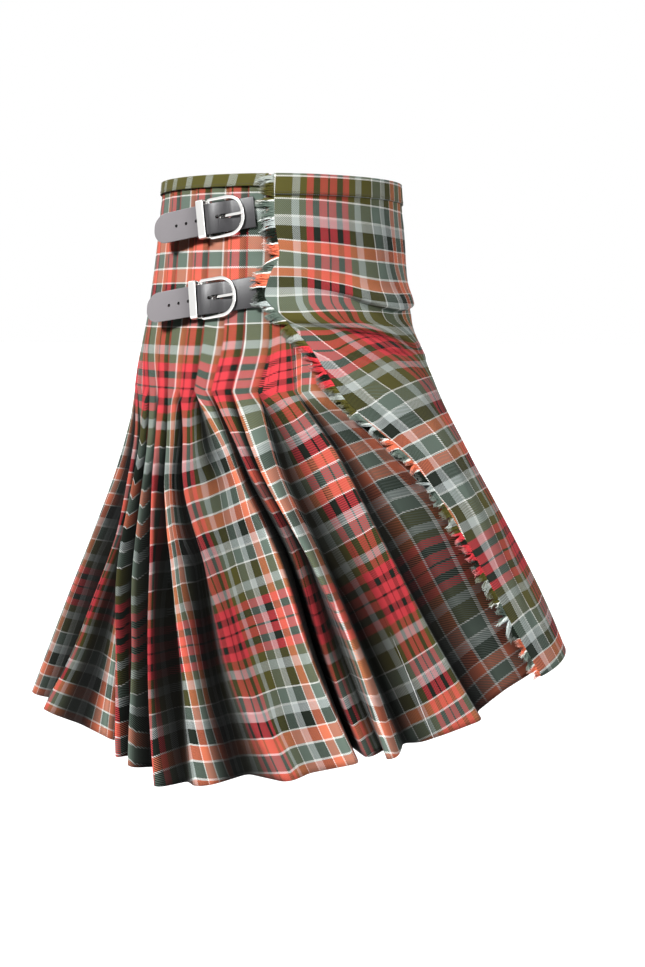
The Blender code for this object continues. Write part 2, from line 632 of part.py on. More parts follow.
def loft_ring(name, seat, sections, metal):
    """Join a closed run of four-cornered sections, each a list of (along, out, rise)."""
    verts = [seat.flat(*corner) for section in sections for corner in section]
    n = len(sections)
    faces = []
    for k in range(n):
        a, b = 4 * k, 4 * ((k + 1) % n)
        for i in range(4):
            j = (i + 1) % 4
            faces.append((a + i, a + j, b + j, b + i))
    return add_mesh(name, seat.place(verts), faces, metal)


def d_frame_path():
    """Middle line of the D: straight bar at the left, round at the right."""
    high = BUCKLE_HEIGHT / 2 - BUCKLE_WIRE / 2
    long = BUCKLE_LENGTH - BUCKLE_WIRE / 2
    radius = BUCKLE_CORNER
    path = [(0.0, -high), (0.0, -0.5 * high), (0.0, 0.5 * high), (0.0, high)]
    for step in range(0, 6):
        turn = math.radians(90 - 18 * step)
        path.append((long - radius + radius * math.cos(turn),
                     high - radius + radius * math.sin(turn)))
    for step in range(0, 6):
        turn = math.radians(-18 * step)
        path.append((long - radius + radius * math.cos(turn),
                     -high + radius + radius * math.sin(turn)))
    return np.array(path)


def make_buckle(seat, name, metal):
    """A D-shaped wire frame with a square keeper loop joined to its bar."""
    path = d_frame_path()
    ahead = np.roll(path, -1, axis=0) - path
    behind = path - np.roll(path, 1, axis=0)
    ahead /= np.maximum(np.linalg.norm(ahead, axis=1), 1e-9)[:, None]
    behind /= np.maximum(np.linalg.norm(behind, axis=1), 1e-9)[:, None]
    side = np.stack([(ahead + behind)[:, 1], -(ahead + behind)[:, 0]], -1)
    side /= np.linalg.norm(side, axis=1)[:, None]
    mitre = 1.0 / np.maximum((side * np.stack([ahead[:, 1], -ahead[:, 0]], -1)).sum(1), 0.6)
    reach = side * (mitre * BUCKLE_WIRE / 2)[:, None]
    low, high = BAR_BOTTOM, BAR_BOTTOM + BUCKLE_THICK
    sections = []
    for (u, v), (du, dv) in zip(path, reach):
        sections.append([(u + du, low, v + dv), (u + 0.55 * du, high, v + 0.55 * dv),
                         (u - 0.55 * du, high, v - 0.55 * dv), (u - du, low, v - dv)])
    frame = loft_ring(name, seat, sections, metal)
    start, stop, tall = KEEPER
    strap_top = float(smooth(-0.008, [h[0] for h in strap_heights()],
                             [h[1] for h in strap_heights()])[0]) + STRAP_THICK / 2
    roof = strap_top + 0.0004
    floor = BAR_BOTTOM + 0.0016
    half = tall / 2
    inner_half = STRAP_WIDTH / 2 + 0.0018
    low_stop = -BUCKLE_WIRE / 2 - 0.0021
    rims = [  # outer rise, outer height, inner rise, inner height, where it stops
        (half, BAR_BOTTOM, inner_half, floor, low_stop),
        (half, floor, inner_half, floor + 0.0003, stop + 0.0010),
        (half, roof + 0.0020, inner_half, roof, stop)]
    rims += [(-r[0], r[1], -r[2], r[3], r[4]) for r in reversed(rims)]
    sections = [[(start, r[1], r[0]), (r[4], r[1], r[0]), (r[4], r[3], r[2]), (start, r[3], r[2])]
                for r in rims]
    keeper = loft_ring(name + "_keeper", seat, sections, metal)
    keeper.hide_render = True
    keeper.display_type = "WIRE"
    join = frame.modifiers.new("keeper", "BOOLEAN")
    join.operation = "UNION"
    join.solver = "EXACT"
    join.object = keeper
    return frame


def extrude_profile(name, seat, profile, low, high, finish):
    """A flat outline in (along, out), drawn up the strap's width from low to high."""
    n = len(profile)
    verts = [seat.flat(a, o, low) for a, o in profile] + [seat.flat(a, o, high) for a, o in profile]
    faces = [tuple(range(n)), tuple(range(2 * n - 1, n - 1, -1))]
    faces += [(k, (k + 1) % n, n + (k + 1) % n, n + k) for k in range(n)]
    return add_mesh(name, seat.place(verts), faces, finish)


def make_prong(seat, name, metal):
    """The tongue: a hook round the bar, an arm under the strap and a tip on the rim."""
    bar = BUCKLE_WIRE / 2
    gap = SEAM_GAP
    hook = HOOK
    low, high = BAR_BOTTOM, BAR_BOTTOM + BUCKLE_THICK
    rim = high + gap
    profile = [
        (-bar - gap - hook, low - gap - hook), (bar + gap, low - gap - hook),
        (bar + gap, low - gap), (-bar - gap, low - gap), (-bar - gap, high + gap),
        (bar + gap, high + gap), (bar + gap, low + 0.0001), (0.0150, low - 0.0002),
        (0.0185, low + 0.0009), (0.0230, rim + 0.0002), (0.0375, rim), (BUCKLE_LENGTH + 0.0006, rim),
        (BUCKLE_LENGTH + 0.0006, rim + 0.0012), (0.0225, rim + 0.0016), (0.0165, low + 0.0018),
        (0.0140, low + 0.0011), (0.0060, low + 0.0014), (bar + gap + hook, high + 0.0004),
        (bar + gap, high + gap + hook), (-bar - gap - hook, high + gap + hook)]
    return extrude_profile(name, seat, profile, -PRONG_WIDTH / 2, PRONG_WIDTH / 2, metal)


def make_tab(seat, name, leather):
    """The leather tab that holds the buckle: sewn to the pleats, looped round the bar."""
    bar = BUCKLE_WIRE / 2
    gap = SEAM_GAP
    hook = HOOK
    low, high = BAR_BOTTOM, BAR_BOTTOM + BUCKLE_THICK
    under = low - gap - hook
    bend = 2 * (float(half_axes(seat.height)[0][0]) + PLEAT_OUT)
    tail = [(u, SEAM_GAP - (u - FLAT_AT) ** 2 / bend) for u in TAB_ENDS]
    profile = tail + [
        (-0.008, under - 0.0004), (bar + gap + hook, under), (bar + gap + hook, high + gap + hook),
        (0.0, high + gap + hook), (0.0, high + gap), (bar + gap, high + gap),
        (bar + gap, low - gap), (-0.008, low - gap - 0.0004)]
    profile += [(u, v + hook) for u, v in reversed(tail)]
    tab = extrude_profile(name, seat, profile, -TAB_WIDTH / 2, TAB_WIDTH / 2, leather)
    room = [(-0.006, under - 0.004), (0.012, under - 0.004), (0.012, high + 0.006),
            (-0.006, high + 0.006)]
    cutter = extrude_profile(name + "_notch", seat, room, -0.0022, 0.0022, leather)
    cutter.hide_render = True
    cutter.display_type = "WIRE"
    cut = tab.modifiers.new("notch", "BOOLEAN")
    cut.operation = "DIFFERENCE"
    cut.solver = "EXACT"
    cut.object = cutter
    return tab


def make_fastenings(leather, metal):
    for name, angle, height, hidden_end, free_end, mirrored in FASTENINGS:
        seat = Seat(angle, height, mirrored)
        make_strap(seat, "strap_" + name, hidden_end, free_end, leather)
        make_buckle(seat, "buckle_" + name, metal)
        make_prong(seat, "prong_" + name, metal)
        make_tab(seat, "tab_" + name, leather)


def clear_scene():
    for thing in list(bpy.data.objects):
        bpy.data.objects.remove(thing, do_unlink=True)


def main():
    clear_scene()
    cloth = material("tartan_cloth", (0.32, 0.20, 0.15), 0.90)
    apron_cloth = material("apron_cloth", (0.30, 0.24, 0.17), 0.90)
    leather = material("black_leather", (0.045, 0.042, 0.042), 0.45)
    metal = material("polished_metal", (0.78, 0.77, 0.75), 0.18, 1.0)
    make_pleats(cloth)
    make_under_apron(cloth)
    make_over_apron(apron_cloth)
    make_waistbands(apron_cloth)
    make_fringe(apron_cloth)
    make_fastenings(leather, metal)


main()
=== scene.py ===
"""Looks of a worn tartan kilt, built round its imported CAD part.

Frame: metres, +Z up, origin at the middle of the waist opening.  The kilt's front
faces -Y and the wearer's right side is -X.  Angles round the body are in degrees
from the wearer's right side: positive towards the front, negative towards the back.

The cloth's own coordinates, in metres, are its UV map: U runs along the cloth from
the back round to the front, V runs up from the hem.
"""
import math

import bpy
import numpy as np
from mathutils import Matrix


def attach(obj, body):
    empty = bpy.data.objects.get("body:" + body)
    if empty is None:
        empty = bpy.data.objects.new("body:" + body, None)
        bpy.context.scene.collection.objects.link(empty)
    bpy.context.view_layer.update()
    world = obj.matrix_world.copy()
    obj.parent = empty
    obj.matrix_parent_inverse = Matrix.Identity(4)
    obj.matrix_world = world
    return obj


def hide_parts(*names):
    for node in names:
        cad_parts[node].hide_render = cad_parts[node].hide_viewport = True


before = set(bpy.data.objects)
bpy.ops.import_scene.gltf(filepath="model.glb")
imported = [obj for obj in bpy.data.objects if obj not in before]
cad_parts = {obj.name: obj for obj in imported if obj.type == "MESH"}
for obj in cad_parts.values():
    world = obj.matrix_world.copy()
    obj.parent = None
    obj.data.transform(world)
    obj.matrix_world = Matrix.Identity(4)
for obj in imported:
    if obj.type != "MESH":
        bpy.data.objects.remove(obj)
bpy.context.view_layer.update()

# ---------------------------------------------------------------- the body form
# Height, half width at the sides, at the front, at the back.
FORM = np.array([
    (0.010, 0.1575, 0.1285, 0.1315),
    (-0.070, 0.1640, 0.1345, 0.1400),
    (-0.140, 0.1720, 0.1385, 0.1505),
    (-0.196, 0.1810, 0.1600, 0.1625),
    (-0.240, 0.1880, 0.1780, 0.1700),
    (-0.300, 0.2020, 0.2090, 0.1850),
    (-0.460, 0.2450, 0.2920, 0.2500),
    (-0.620, 0.2900, 0.3660, 0.3150)])

# Height of the hem against the hem angle.
HEM = np.array([
    (-195.0, -0.578), (-110.0, -0.576), (-55.0, -0.574), (-38.0, -0.579), (-24.0, -0.597),
    (-14.0, -0.615), (9.0, -0.604), (22.0, -0.586), (34.0, -0.580), (46.0, -0.557),
    (66.0, -0.528), (90.0, -0.523), (135.0, -0.545), (195.0, -0.578)])

# ---------------------------------------------------------------- driving sizes
CLOTH = 0.0014           # cloth thickness
SEAM_GAP = 0.0003        # between pieces that touch
YOKE_Z = -0.166          # half way down the sewn part
FELL_Z = -0.223          # lower end of the sewn part
TOOTH = 0.0026           # height of one sewn pleat's folded edge over the next
TOOTH_DEPTH = 0.0002     # how far the cloth dips under that edge
TOP_SQUASH = 0.80        # how much of the tooth is left under the waistband
SQUASHED_TO = (0.014, 0.035)            # down to this depth, and it is whole from the next
STEP_ANGLE = 0.50        # degrees the cloth runs on under the next folded edge
REGULAR_PLEATS = 12      # pleats round the back between the first table row and the left hip
LEFT_HIP = -188.0        # first folded edge, under the over apron's left edge
TUCK = 1.5               # degrees the cloth runs on before that first folded edge
TUCK_OUT = (-0.001, -0.001, -0.004, -0.006, -0.007)   # its distance out at the fell and below
SEAM_PLEATS = (6, REGULAR_PLEATS + 2)   # pleats_left and pleats_back end after this many pleats
UNDER_FLAT_RAILS = 10
UNDER_END = 160.0        # angle of the under apron's free edge
UNDER_INSET = 0.0060     # its flat part lies this far inside the body form at the hem
UNDER_INSET_SEWN = 0.0024

# The regular pleats: how far a ridge sways in degrees, and how far it swings out in
# millimetres, with its share of that and what it is drawn in by at the four stations; then
# the mean and swing of the valleys' depth in millimetres, and at the four stations a
# valley's part of the pitch and its share of that depth.
SWAY = 0.9
RIDGE_SWING = 1.5
RIDGE_OUT = ((0.0, 0.0), (0.3, 0.0), (0.7, 1.0), (1.0, 2.5))
VALLEY_DEPTH = (44, 6)
VALLEY_LEAN = (0.62, 0.56, 0.56, 0.56)
VALLEY_SHARE = (0.26, 0.55, 0.82, 1.0)
# Crest and slope on the way from a folded edge to its valley: part of the angle, part of
# the depth, and height in the sewn part in teeth.
CREST = (0.34, 0.12, 0.62)
SLOPE = (0.72, 0.62, 0.25)
SLOPE_BACK = 0.25        # degrees between the slope and the next folded edge, sewn
# How far a corner is rounded in the sewn part and at the hem: on the deep pleats beside
# the frayed edge, on a pleat's four rails, on the flat wrap and on the tuck.
EDGE_ROUND = (0.0006, 0.007)
PLEAT_ROUND = ((0.0007, 0.007), (0.004, 0.05), (0.0007, 0.05), (0.0004, 0.010))
FLAT_ROUND = (0.01, 0.01)
TUCK_ROUND = (0.0006, 0.006)

STATIONS = (0.0, 0.20, 0.47, 0.74, 1.0)     # from the fell to the hem

# Folded edges ("a", "b") and the valleys ("v") that follow them, from the back round to
# the front.  Angles at the waist, yoke, fell and four stations; then millimetres out at
# the four stations.  A valley has no angles of its own in the sewn part.
FOLDS = (
    # name, waist, yoke, fell,  0.20,  0.47,  0.74,   hem,   out 0.20, 0.47, 0.74, hem
    ("a0", -88.0, -84.0, -77.0, -76.0, -74.0, -73.0, -71.7, 0, 0, 0, 0),
    ("v", 0, 0, 0, -67.0, -59.0, -56.0, -58.0, -12, -28, -36, -40),
    ("b0", -80.5, -76.0, -69.0, -61.5, -50.5, -49.0, -54.3, -7, -8, -2, 0),
    ("v", 0, 0, 0, -57.5, -47.0, -42.5, -40.0, -15, -21, -19, -13),
    ("a1", -73.5, -69.0, -61.2, -54.0, -44.0, -37.0, -32.0, -10, -16, -18, -18),
    ("v", 0, 0, 0, -51.0, -41.2, -33.0, -27.8, -17, -26, -30, -31),
    ("b1", -66.0, -62.0, -53.7, -48.5, -41.5, -31.5, -24.8, 0, 1, 1, 0),
    ("v", 0, 0, 0, -45.5, -37.5, -28.0, -23.2, -14, -24, -29, -30),
    ("a2", -58.7, -54.5, -46.8, -42.0, -34.5, -26.0, -21.6, 0, 0, 1, 0),
    ("v", 0, 0, 0, -39.3, -31.0, -23.0, -18.2, -16, -28, -36, -38),
    ("b2", -49.2, -45.0, -40.7, -36.5, -27.0, -20.0, -14.0, 0, 2, 6, 9),
    ("v", 0, 0, 0, -33.6, -24.0, -16.0, -9.4, -20, -32, -30, -18),
    ("a3", -39.8, -36.5, -34.4, -31.0, -20.0, -12.0, -6.5, 0, 0, 0, 0),
    ("v", 0, 0, 0, -27.0, -14.5, -6.5, 1.8, -22, -36, -40, -38),
    ("b3", -29.4, -28.0, -28.0, -25.6, -11.2, -1.4, 8.9, -7, -9, -5, 3),
    ("v", 0, 0, 0, -15.0, -3.0, 6.0, 12.9, -13, -15, -14, -10),
    ("a4", -20.2, -19.5, -21.4, -5.5, 8.5, 14.3, 20.6, 0, 2, 4, 5),
    ("v", 0, 0, 0, -3.4, 9.8, 15.9, 21.8, -22, -48, -58, -58),
    ("b4", -11.2, -10.8, -14.3, -1.2, 12.1, 17.5, 22.8, -4, -24, -22, -9),
    ("v", 0, 0, 0, 3.2, 15.6, 21.5, 27.0, -18, -34, -34, -26),
    ("a5", -1.9, -2.3, -6.3, 2.8, 15.4, 22.7, 25.6, 2, 6, 8, 9),
    ("v", 0, 0, 0, 9.6, 19.8, 26.4, 31.6, -18, -34, -40, -38))

# The deep pleats beside the frayed edge, then the flat wrap under the over apron.
UNDER_FOLDS = (
    # name, waist, yoke, fell, 0.20,  0.47,  0.74,   hem,   out at fell, 0.20, 0.47, 0.74, hem
    ("start", 8.2, 7.4, 2.9, 14.6, 25.2, 31.0, 34.6, 2.6, -12, -23, -27, -27),
    ("face", 11.8, 11.0, 8.5, 20.5, 29.4, 35.0, 39.4, 1.8, -6, -12, -16, -17),
    ("edge", 15.5, 15.0, 15.0, 26.5, 34.1, 40.0, 45.8, 1.8, -2, -1, 0, 2),
    ("dip", 17.0, 16.5, 16.0, 27.5, 35.3, 41.4, 47.5, -1.6, -9, -12, -15, -17),
    ("panel", 20.0, 20.0, 18.0, 33.5, 45.5, 52.0, 57.0, -1.8, -7, -10, -13, -15),
    ("pipe", 23.0, 23.0, 20.0, 39.5, 56.5, 61.5, 66.0, 0.6, -3, -6, -9, -10),
    ("flat", 28.0, 28.0, 26.0, 45.0, 63.0, 70.0, 75.0, -2.4, -7, -8, -10, -11))


# ---------------------------------------------------------------- curves
def smooth(x, xs, ys):
    """Monotone cubic through (xs, ys): each span is a Hermite cubic whose end slopes are
    the harmonic means of its neighbours' slopes, so it never overshoots."""
    x = np.asarray(x, float)
    xs = np.asarray(xs, float)
    ys = np.asarray(ys, float)
    step = np.diff(xs)
    rise = np.diff(ys) / step
    same = rise[:-1] * rise[1:] > 0
    inner = np.where(same, 2.0 / np.where(same, 1.0 / np.where(same, rise[:-1], 1.0)
                                          + 1.0 / np.where(same, rise[1:], 1.0), 1.0), 0.0)
    slope = np.concatenate([[rise[0]], inner, [rise[-1]]])
    k = np.clip(np.searchsorted(xs, x) - 1, 0, len(xs) - 2)
    t = np.clip((x - xs[k]) / step[k], 0.0, 1.0)
    a = 2 * t ** 3 - 3 * t ** 2 + 1
    b = t ** 3 - 2 * t ** 2 + t
    c = t ** 3 - t ** 2
    return a * ys[k] + b * step[k] * slope[k] + (1 - a) * ys[k + 1] + c * step[k] * slope[k + 1]


def half_axes(z):
    """Half widths of the body form at height z: side, front, back."""
    depth = -FORM[:, 0]
    return [smooth(-np.asarray(z, float), depth, FORM[:, k]) for k in (1, 2, 3)]


def body_point(angle, z, out=0.0):
    """The point at an angle and height, a distance out from the body form: the form's
    section is half an ellipse in front and half another behind, both widened by out."""
    side, front, back = half_axes(z)
    turn = np.radians(angle)
    along = np.where(np.sin(turn) > 0, front, back)
    x = -(side + out) * np.cos(turn)
    y = -(along + out) * np.sin(turn)
    return np.stack(np.broadcast_arrays(x, y, np.asarray(z, float)), -1)


def hem_height(angle):
    """Height of the hem at an angle, along a smooth curve through its table."""
    return smooth(angle, HEM[:, 0], HEM[:, 1])


def arc_along(points):
    """Length run from the first column, along each row of a grid of points."""
    step = np.linalg.norm(np.diff(points, axis=1), axis=2)
    return np.concatenate([np.zeros((len(points), 1)), np.cumsum(step, axis=1)], axis=1)


def read_along(where, run, values):
    """Values of three numbers each, known along a run, read at other places on it."""
    return np.stack([np.interp(where, run, values[:, k]) for k in range(3)], -1)


def unit(vectors):
    """Vectors divided by their lengths."""
    return vectors / np.maximum(np.linalg.norm(vectors, axis=-1, keepdims=True), 1e-12)


# ---------------------------------------------------------------- mesh building
def in_scene(name, data):
    """A new object in the scene, at the origin."""
    thing = bpy.data.objects.new(name, data)
    bpy.context.scene.collection.objects.link(thing)
    return thing


def point_values(thing, name, values):
    """Give a mesh's points a named number each."""
    layer = thing.data.attributes.new(name, "FLOAT", "POINT")
    layer.data.foreach_set("value", np.asarray(values, np.float32).ravel())


def face_outwards(thing):
    """Turn all faces of a closed mesh outwards."""
    bpy.ops.object.select_all(action="DESELECT")
    bpy.context.view_layer.objects.active = thing
    thing.select_set(True)
    bpy.ops.object.mode_set(mode="EDIT")
    bpy.ops.mesh.select_all(action="SELECT")
    bpy.ops.mesh.normals_make_consistent(inside=False)
    bpy.ops.object.mode_set(mode="OBJECT")


def grid_faces(rows, columns):
    """Corner numbers of a grid's quads, in the order that faces a grid outwards when its
    rows run down and its columns run round the body from back to front."""
    corner = np.arange(rows * columns).reshape(rows, columns)
    return np.stack([corner[:-1, :-1], corner[1:, :-1], corner[1:, 1:], corner[:-1, 1:]],
                    -1).reshape(-1, 4)


def new_mesh(name, points, faces, material, face_uv=None):
    """Put an array of points and an array of quads into a mesh object."""
    mesh = bpy.data.meshes.new(name)
    faces = np.asarray(faces, np.int32)
    corners = faces.shape[1]
    mesh.vertices.add(len(points))
    mesh.vertices.foreach_set("co", np.asarray(points, np.float32).ravel())
    mesh.loops.add(faces.size)
    mesh.loops.foreach_set("vertex_index", faces.ravel())
    mesh.polygons.add(len(faces))
    mesh.polygons.foreach_set("loop_start", np.arange(0, faces.size, corners, dtype=np.int32))
    mesh.polygons.foreach_set("use_smooth", np.ones(len(faces), bool))
    mesh.update(calc_edges=True)
    if face_uv is not None:
        layer = mesh.uv_layers.new(name="cloth")
        layer.data.foreach_set("uv", np.asarray(face_uv, np.float32).ravel())
    mesh.materials.append(material)
    mesh.validate()
    return in_scene(name, mesh)


def cloth_sheet(name, points, uv, material, thickness=CLOTH, painted_shade=None):
    """A grid of cloth given its thickness on both sides of its middle.

    uv holds its cloth coordinates; painted_shade, from 0 to 1, is how much shade is painted into
    its colour for lying deep in a fold."""
    rows, columns = points.shape[:2]
    faces = grid_faces(rows, columns)
    sheet = new_mesh(name, points.reshape(-1, 3), faces, material, uv.reshape(-1, 2)[faces])
    # Painted shade for the folds, carried by the mesh's points.
    if painted_shade is not None:
        point_values(sheet, "painted_shade", painted_shade)
    wall = sheet.modifiers.new("cloth thickness", "SOLIDIFY")
    wall.thickness = thickness
    wall.offset = 0.0
    return sheet


# ---------------------------------------------------------------- pleats
SEWN_LEVELS = np.concatenate([[0.0, -0.004], np.linspace(-0.012, FELL_Z, 22)])
LOOSE_PARTS = np.linspace(0.0, 1.0, 66)[1:]
CORNER_COLUMNS = 7       # columns round each rail
RUN_COLUMNS = 3          # columns between two rails
CORNER_SHARE = 0.46      # largest part of a run that a rounded corner takes
LOOSE_CLOTH = 0.398      # cloth from the fell to the hem


class Rail:
    """One fold or valley line: angles and distances out from the waist to the hem, and
    how far its corner is rounded in the sewn part and at the hem."""

    def __init__(self, angles, sewn_out, loose_out, corner):
        """Angles at the waist, yoke, fell and four stations, then distances out."""
        self.waist, self.yoke, self.fell = angles[:3]
        self.loose = angles[3:]
        self.sewn_out = sewn_out
        self.loose_out = loose_out
        self.corner = corner

    def points(self):
        """Rail points: the sewn levels, then parts of the way from the fell to the hem."""
        angle_up = smooth(-SEWN_LEVELS, (0.0, -YOKE_Z, -FELL_Z),
                          (self.waist, self.yoke, self.fell))
        squash = smooth(-SEWN_LEVELS, (0.0, *SQUASHED_TO), (TOP_SQUASH, TOP_SQUASH, 1.0))
        out_up = self.sewn_out * np.where(self.sewn_out > 0, squash, 1.0)
        angle_low = smooth(LOOSE_PARTS, STATIONS, (self.fell,) + tuple(self.loose))
        out_low = smooth(LOOSE_PARTS, STATIONS, (self.sewn_out,) + tuple(self.loose_out))
        z_low = FELL_Z + LOOSE_PARTS * (hem_height(self.loose[-1]) - FELL_Z)
        return body_point(np.concatenate([angle_up, angle_low]),
                          np.concatenate([SEWN_LEVELS, z_low]),
                          np.concatenate([out_up, out_low]))

    def rounding(self):
        """How far before and after the rail its corner is rounded, at each level: most of
        the change comes in the first quarter below the fell."""
        tight, loose = self.corner
        low = smooth(LOOSE_PARTS, (0.0, 0.25, 1.0), (tight, 0.6 * loose, loose))
        return np.concatenate([np.full(len(SEWN_LEVELS), tight), low])


def between(first, second, first_out, second_out, part, part_out):
    """Angles and distances part of the way from one rail to the next."""
    angles = [a + part * (b - a) for a, b in zip(first, second)]
    outs = [a + part_out * (b - a) for a, b in zip(first_out, second_out)]
    return angles, outs


def regular_folds():
    """The pleats from the left hip round the back: ridge and valley rows by rule.

    The ridges divide the way evenly, and near the hem each sways by a sine of its number.
    How far it stands out and its valley's depth follow two other sines of that number."""
    first = FOLDS[0]
    rows = []
    for k in range(REGULAR_PLEATS, 0, -1):
        part = k / REGULAR_PLEATS
        sway = SWAY * math.sin(2.4 * k + 0.6)
        ridge = [a + part * (LEFT_HIP - a) for a in first[1:8]]
        ridge[6] += sway
        ridge[5] += 0.6 * sway
        pitch = (first[7] - LEFT_HIP) / REGULAR_PLEATS
        deep = VALLEY_DEPTH[0] + VALLEY_DEPTH[1] * math.sin(1.7 * k)
        crest = RIDGE_SWING * math.sin(2.9 * k + 1.0)
        out = [share * crest - drawn_in for share, drawn_in in RIDGE_OUT]
        valley = [a + pitch * lean for a, lean in zip(ridge[3:], VALLEY_LEAN)]
        rows.append(("r%d" % k, *ridge, *out))
        rows.append(("v", 0, 0, 0, *valley, *(-share * deep for share in VALLEY_SHARE)))
    return rows


def pleat_rails(rows, next_ridge):
    """Four rails for each pleat: folded edge, crest, slope and valley.

    In the sewn part they make a saw tooth: the face falls from its folded edge and
    dips under the next folded edge, where the valley rail turns back."""
    rails = []
    for k in range(0, len(rows), 2):
        ridge, valley = rows[k], rows[k + 1]
        follow = rows[k + 2] if k + 2 < len(rows) else next_ridge
        edge = list(ridge[1:8])
        edge_out = [v / 1000 for v in ridge[8:12]]
        deep = list(valley[4:8])
        deep_out = [v / 1000 for v in valley[8:12]]
        ahead = list(follow[1:4])
        crest_low, crest_out = between(edge[3:], deep, edge_out, deep_out, *CREST[:2])
        slope_low, slope_out = between(edge[3:], deep, edge_out, deep_out, *SLOPE[:2])
        middle = [0.5 * (a + b) for a, b in zip(edge[:3], ahead)]
        four = ((edge, TOOTH, edge_out), (middle + crest_low, CREST[2] * TOOTH, crest_out),
                ([a - SLOPE_BACK for a in ahead] + slope_low, SLOPE[2] * TOOTH, slope_out),
                ([a + STEP_ANGLE for a in ahead] + deep, -TOOTH_DEPTH, deep_out))
        rails += [Rail(*each, corner) for each, corner in zip(four, PLEAT_ROUND)]
    return rails


def fold_rail(row):
    """The rail of one row of UNDER_FOLDS."""
    return Rail(list(row[1:8]), row[8] / 1000, [v / 1000 for v in row[9:13]], EDGE_ROUND)


def under_rails():
    """The deep pleat beside the frayed edge and the flat wrap up to its free edge."""
    rails = [fold_rail(row) for row in UNDER_FOLDS]
    last = UNDER_FOLDS[-1]
    for k in range(1, UNDER_FLAT_RAILS + 1):
        part = k / UNDER_FLAT_RAILS
        angles = [a + part * (UNDER_END - a) for a in last[1:8]]
        inner = [v / 1000 + min(1.0, 3 * part) * (-UNDER_INSET - v / 1000) for v in last[9:13]]
        rails.append(Rail(angles, -UNDER_INSET_SEWN, inner, FLAT_ROUND))
    return rails


def section_through(rails, seam_first, seam_last):
    """The sheet through a run of rails, with each rail's corner rounded.

    At a rail P between rails A and B the section leaves the straight run a short way
    before P and joins the next a short way after it, along the quadratic curve
    (1-t)^2 A' + 2t(1-t) P + t^2 B'.  A seam end stops half way along its run."""
    line = np.stack([rail.points() for rail in rails], axis=1)
    reach = np.stack([rail.rounding() for rail in rails], axis=1)
    for seam, end, inner in ((seam_first, 0, 1), (seam_last, -1, -2)):
        if seam:
            run = line[:, inner] - line[:, end]
            line[:, end] += run * (0.5 + SEAM_GAP / 2 / np.linalg.norm(run, axis=1)[:, None])
    back, ahead = np.zeros_like(line), np.zeros_like(line)
    back[:, 1:] = line[:, :-1] - line[:, 1:]
    ahead[:, :-1] = line[:, 1:] - line[:, :-1]

    def step_off(way):
        """Where the corner begins or ends on its way to a neighbouring rail."""
        length = np.maximum(np.linalg.norm(way, axis=2), 1e-9)
        part = np.minimum(reach / length, CORNER_SHARE) * (length > 1e-8)
        return line + way * part[..., None]

    start, stop = step_off(back), step_off(ahead)
    t = np.linspace(0.0, 1.0, CORNER_COLUMNS)[:, None]
    corner = ((1 - t) ** 2 * start[:, :, None] + 2 * t * (1 - t) * line[:, :, None]
              + t ** 2 * stop[:, :, None])
    s = (np.arange(1, RUN_COLUMNS + 1) / (RUN_COLUMNS + 1))[:, None]
    run = stop[:, :-1, None] * (1 - s) + start[:, 1:, None] * s
    run = np.concatenate([run, np.repeat(stop[:, -1:, None], RUN_COLUMNS, axis=2)], axis=1)
    sheet = np.concatenate([corner, run], axis=2)
    return sheet.reshape(len(line), -1, 3)[:, :sheet.shape[1] * sheet.shape[2] - RUN_COLUMNS]


def cloth_heights():
    """V at each level: cloth length up from the hem."""
    return np.concatenate([LOOSE_CLOTH + SEWN_LEVELS - FELL_Z, LOOSE_CLOTH * (1 - LOOSE_PARTS)])


# Half a repeat of the tartan, in metres.  The sewn pleats take half a repeat each.
HALF_SETT = 0.1288
PIVOT_V = 0.0190         # V of the pivot stripe nearest the hem
EVEN_TO = 0.09           # depth under the waist down to which the pattern lies evenly

# Where each folded edge lies from its own pivot stripe, in millimetres of U: high in the
# sewn part, at the fell and at the hem.  A row of CLOTH_ROWS replaces the last of them.
EDGE_FROM_PIVOT = {
    "a": (-7.5, -8.5, 0), "b": (-3, -7, 12), "r": (-5, -9, 4), "a2": (-7.5, -6.5, -3),
    "b2": (-3, -2, 9), "a3": (-7.5, -2, -44), "b3": (-3, -4, 3), "a4": (-7.5, -6, 4),
    "b4": (-3, -5, 8), "a5": (-7.5, -10, 4)}

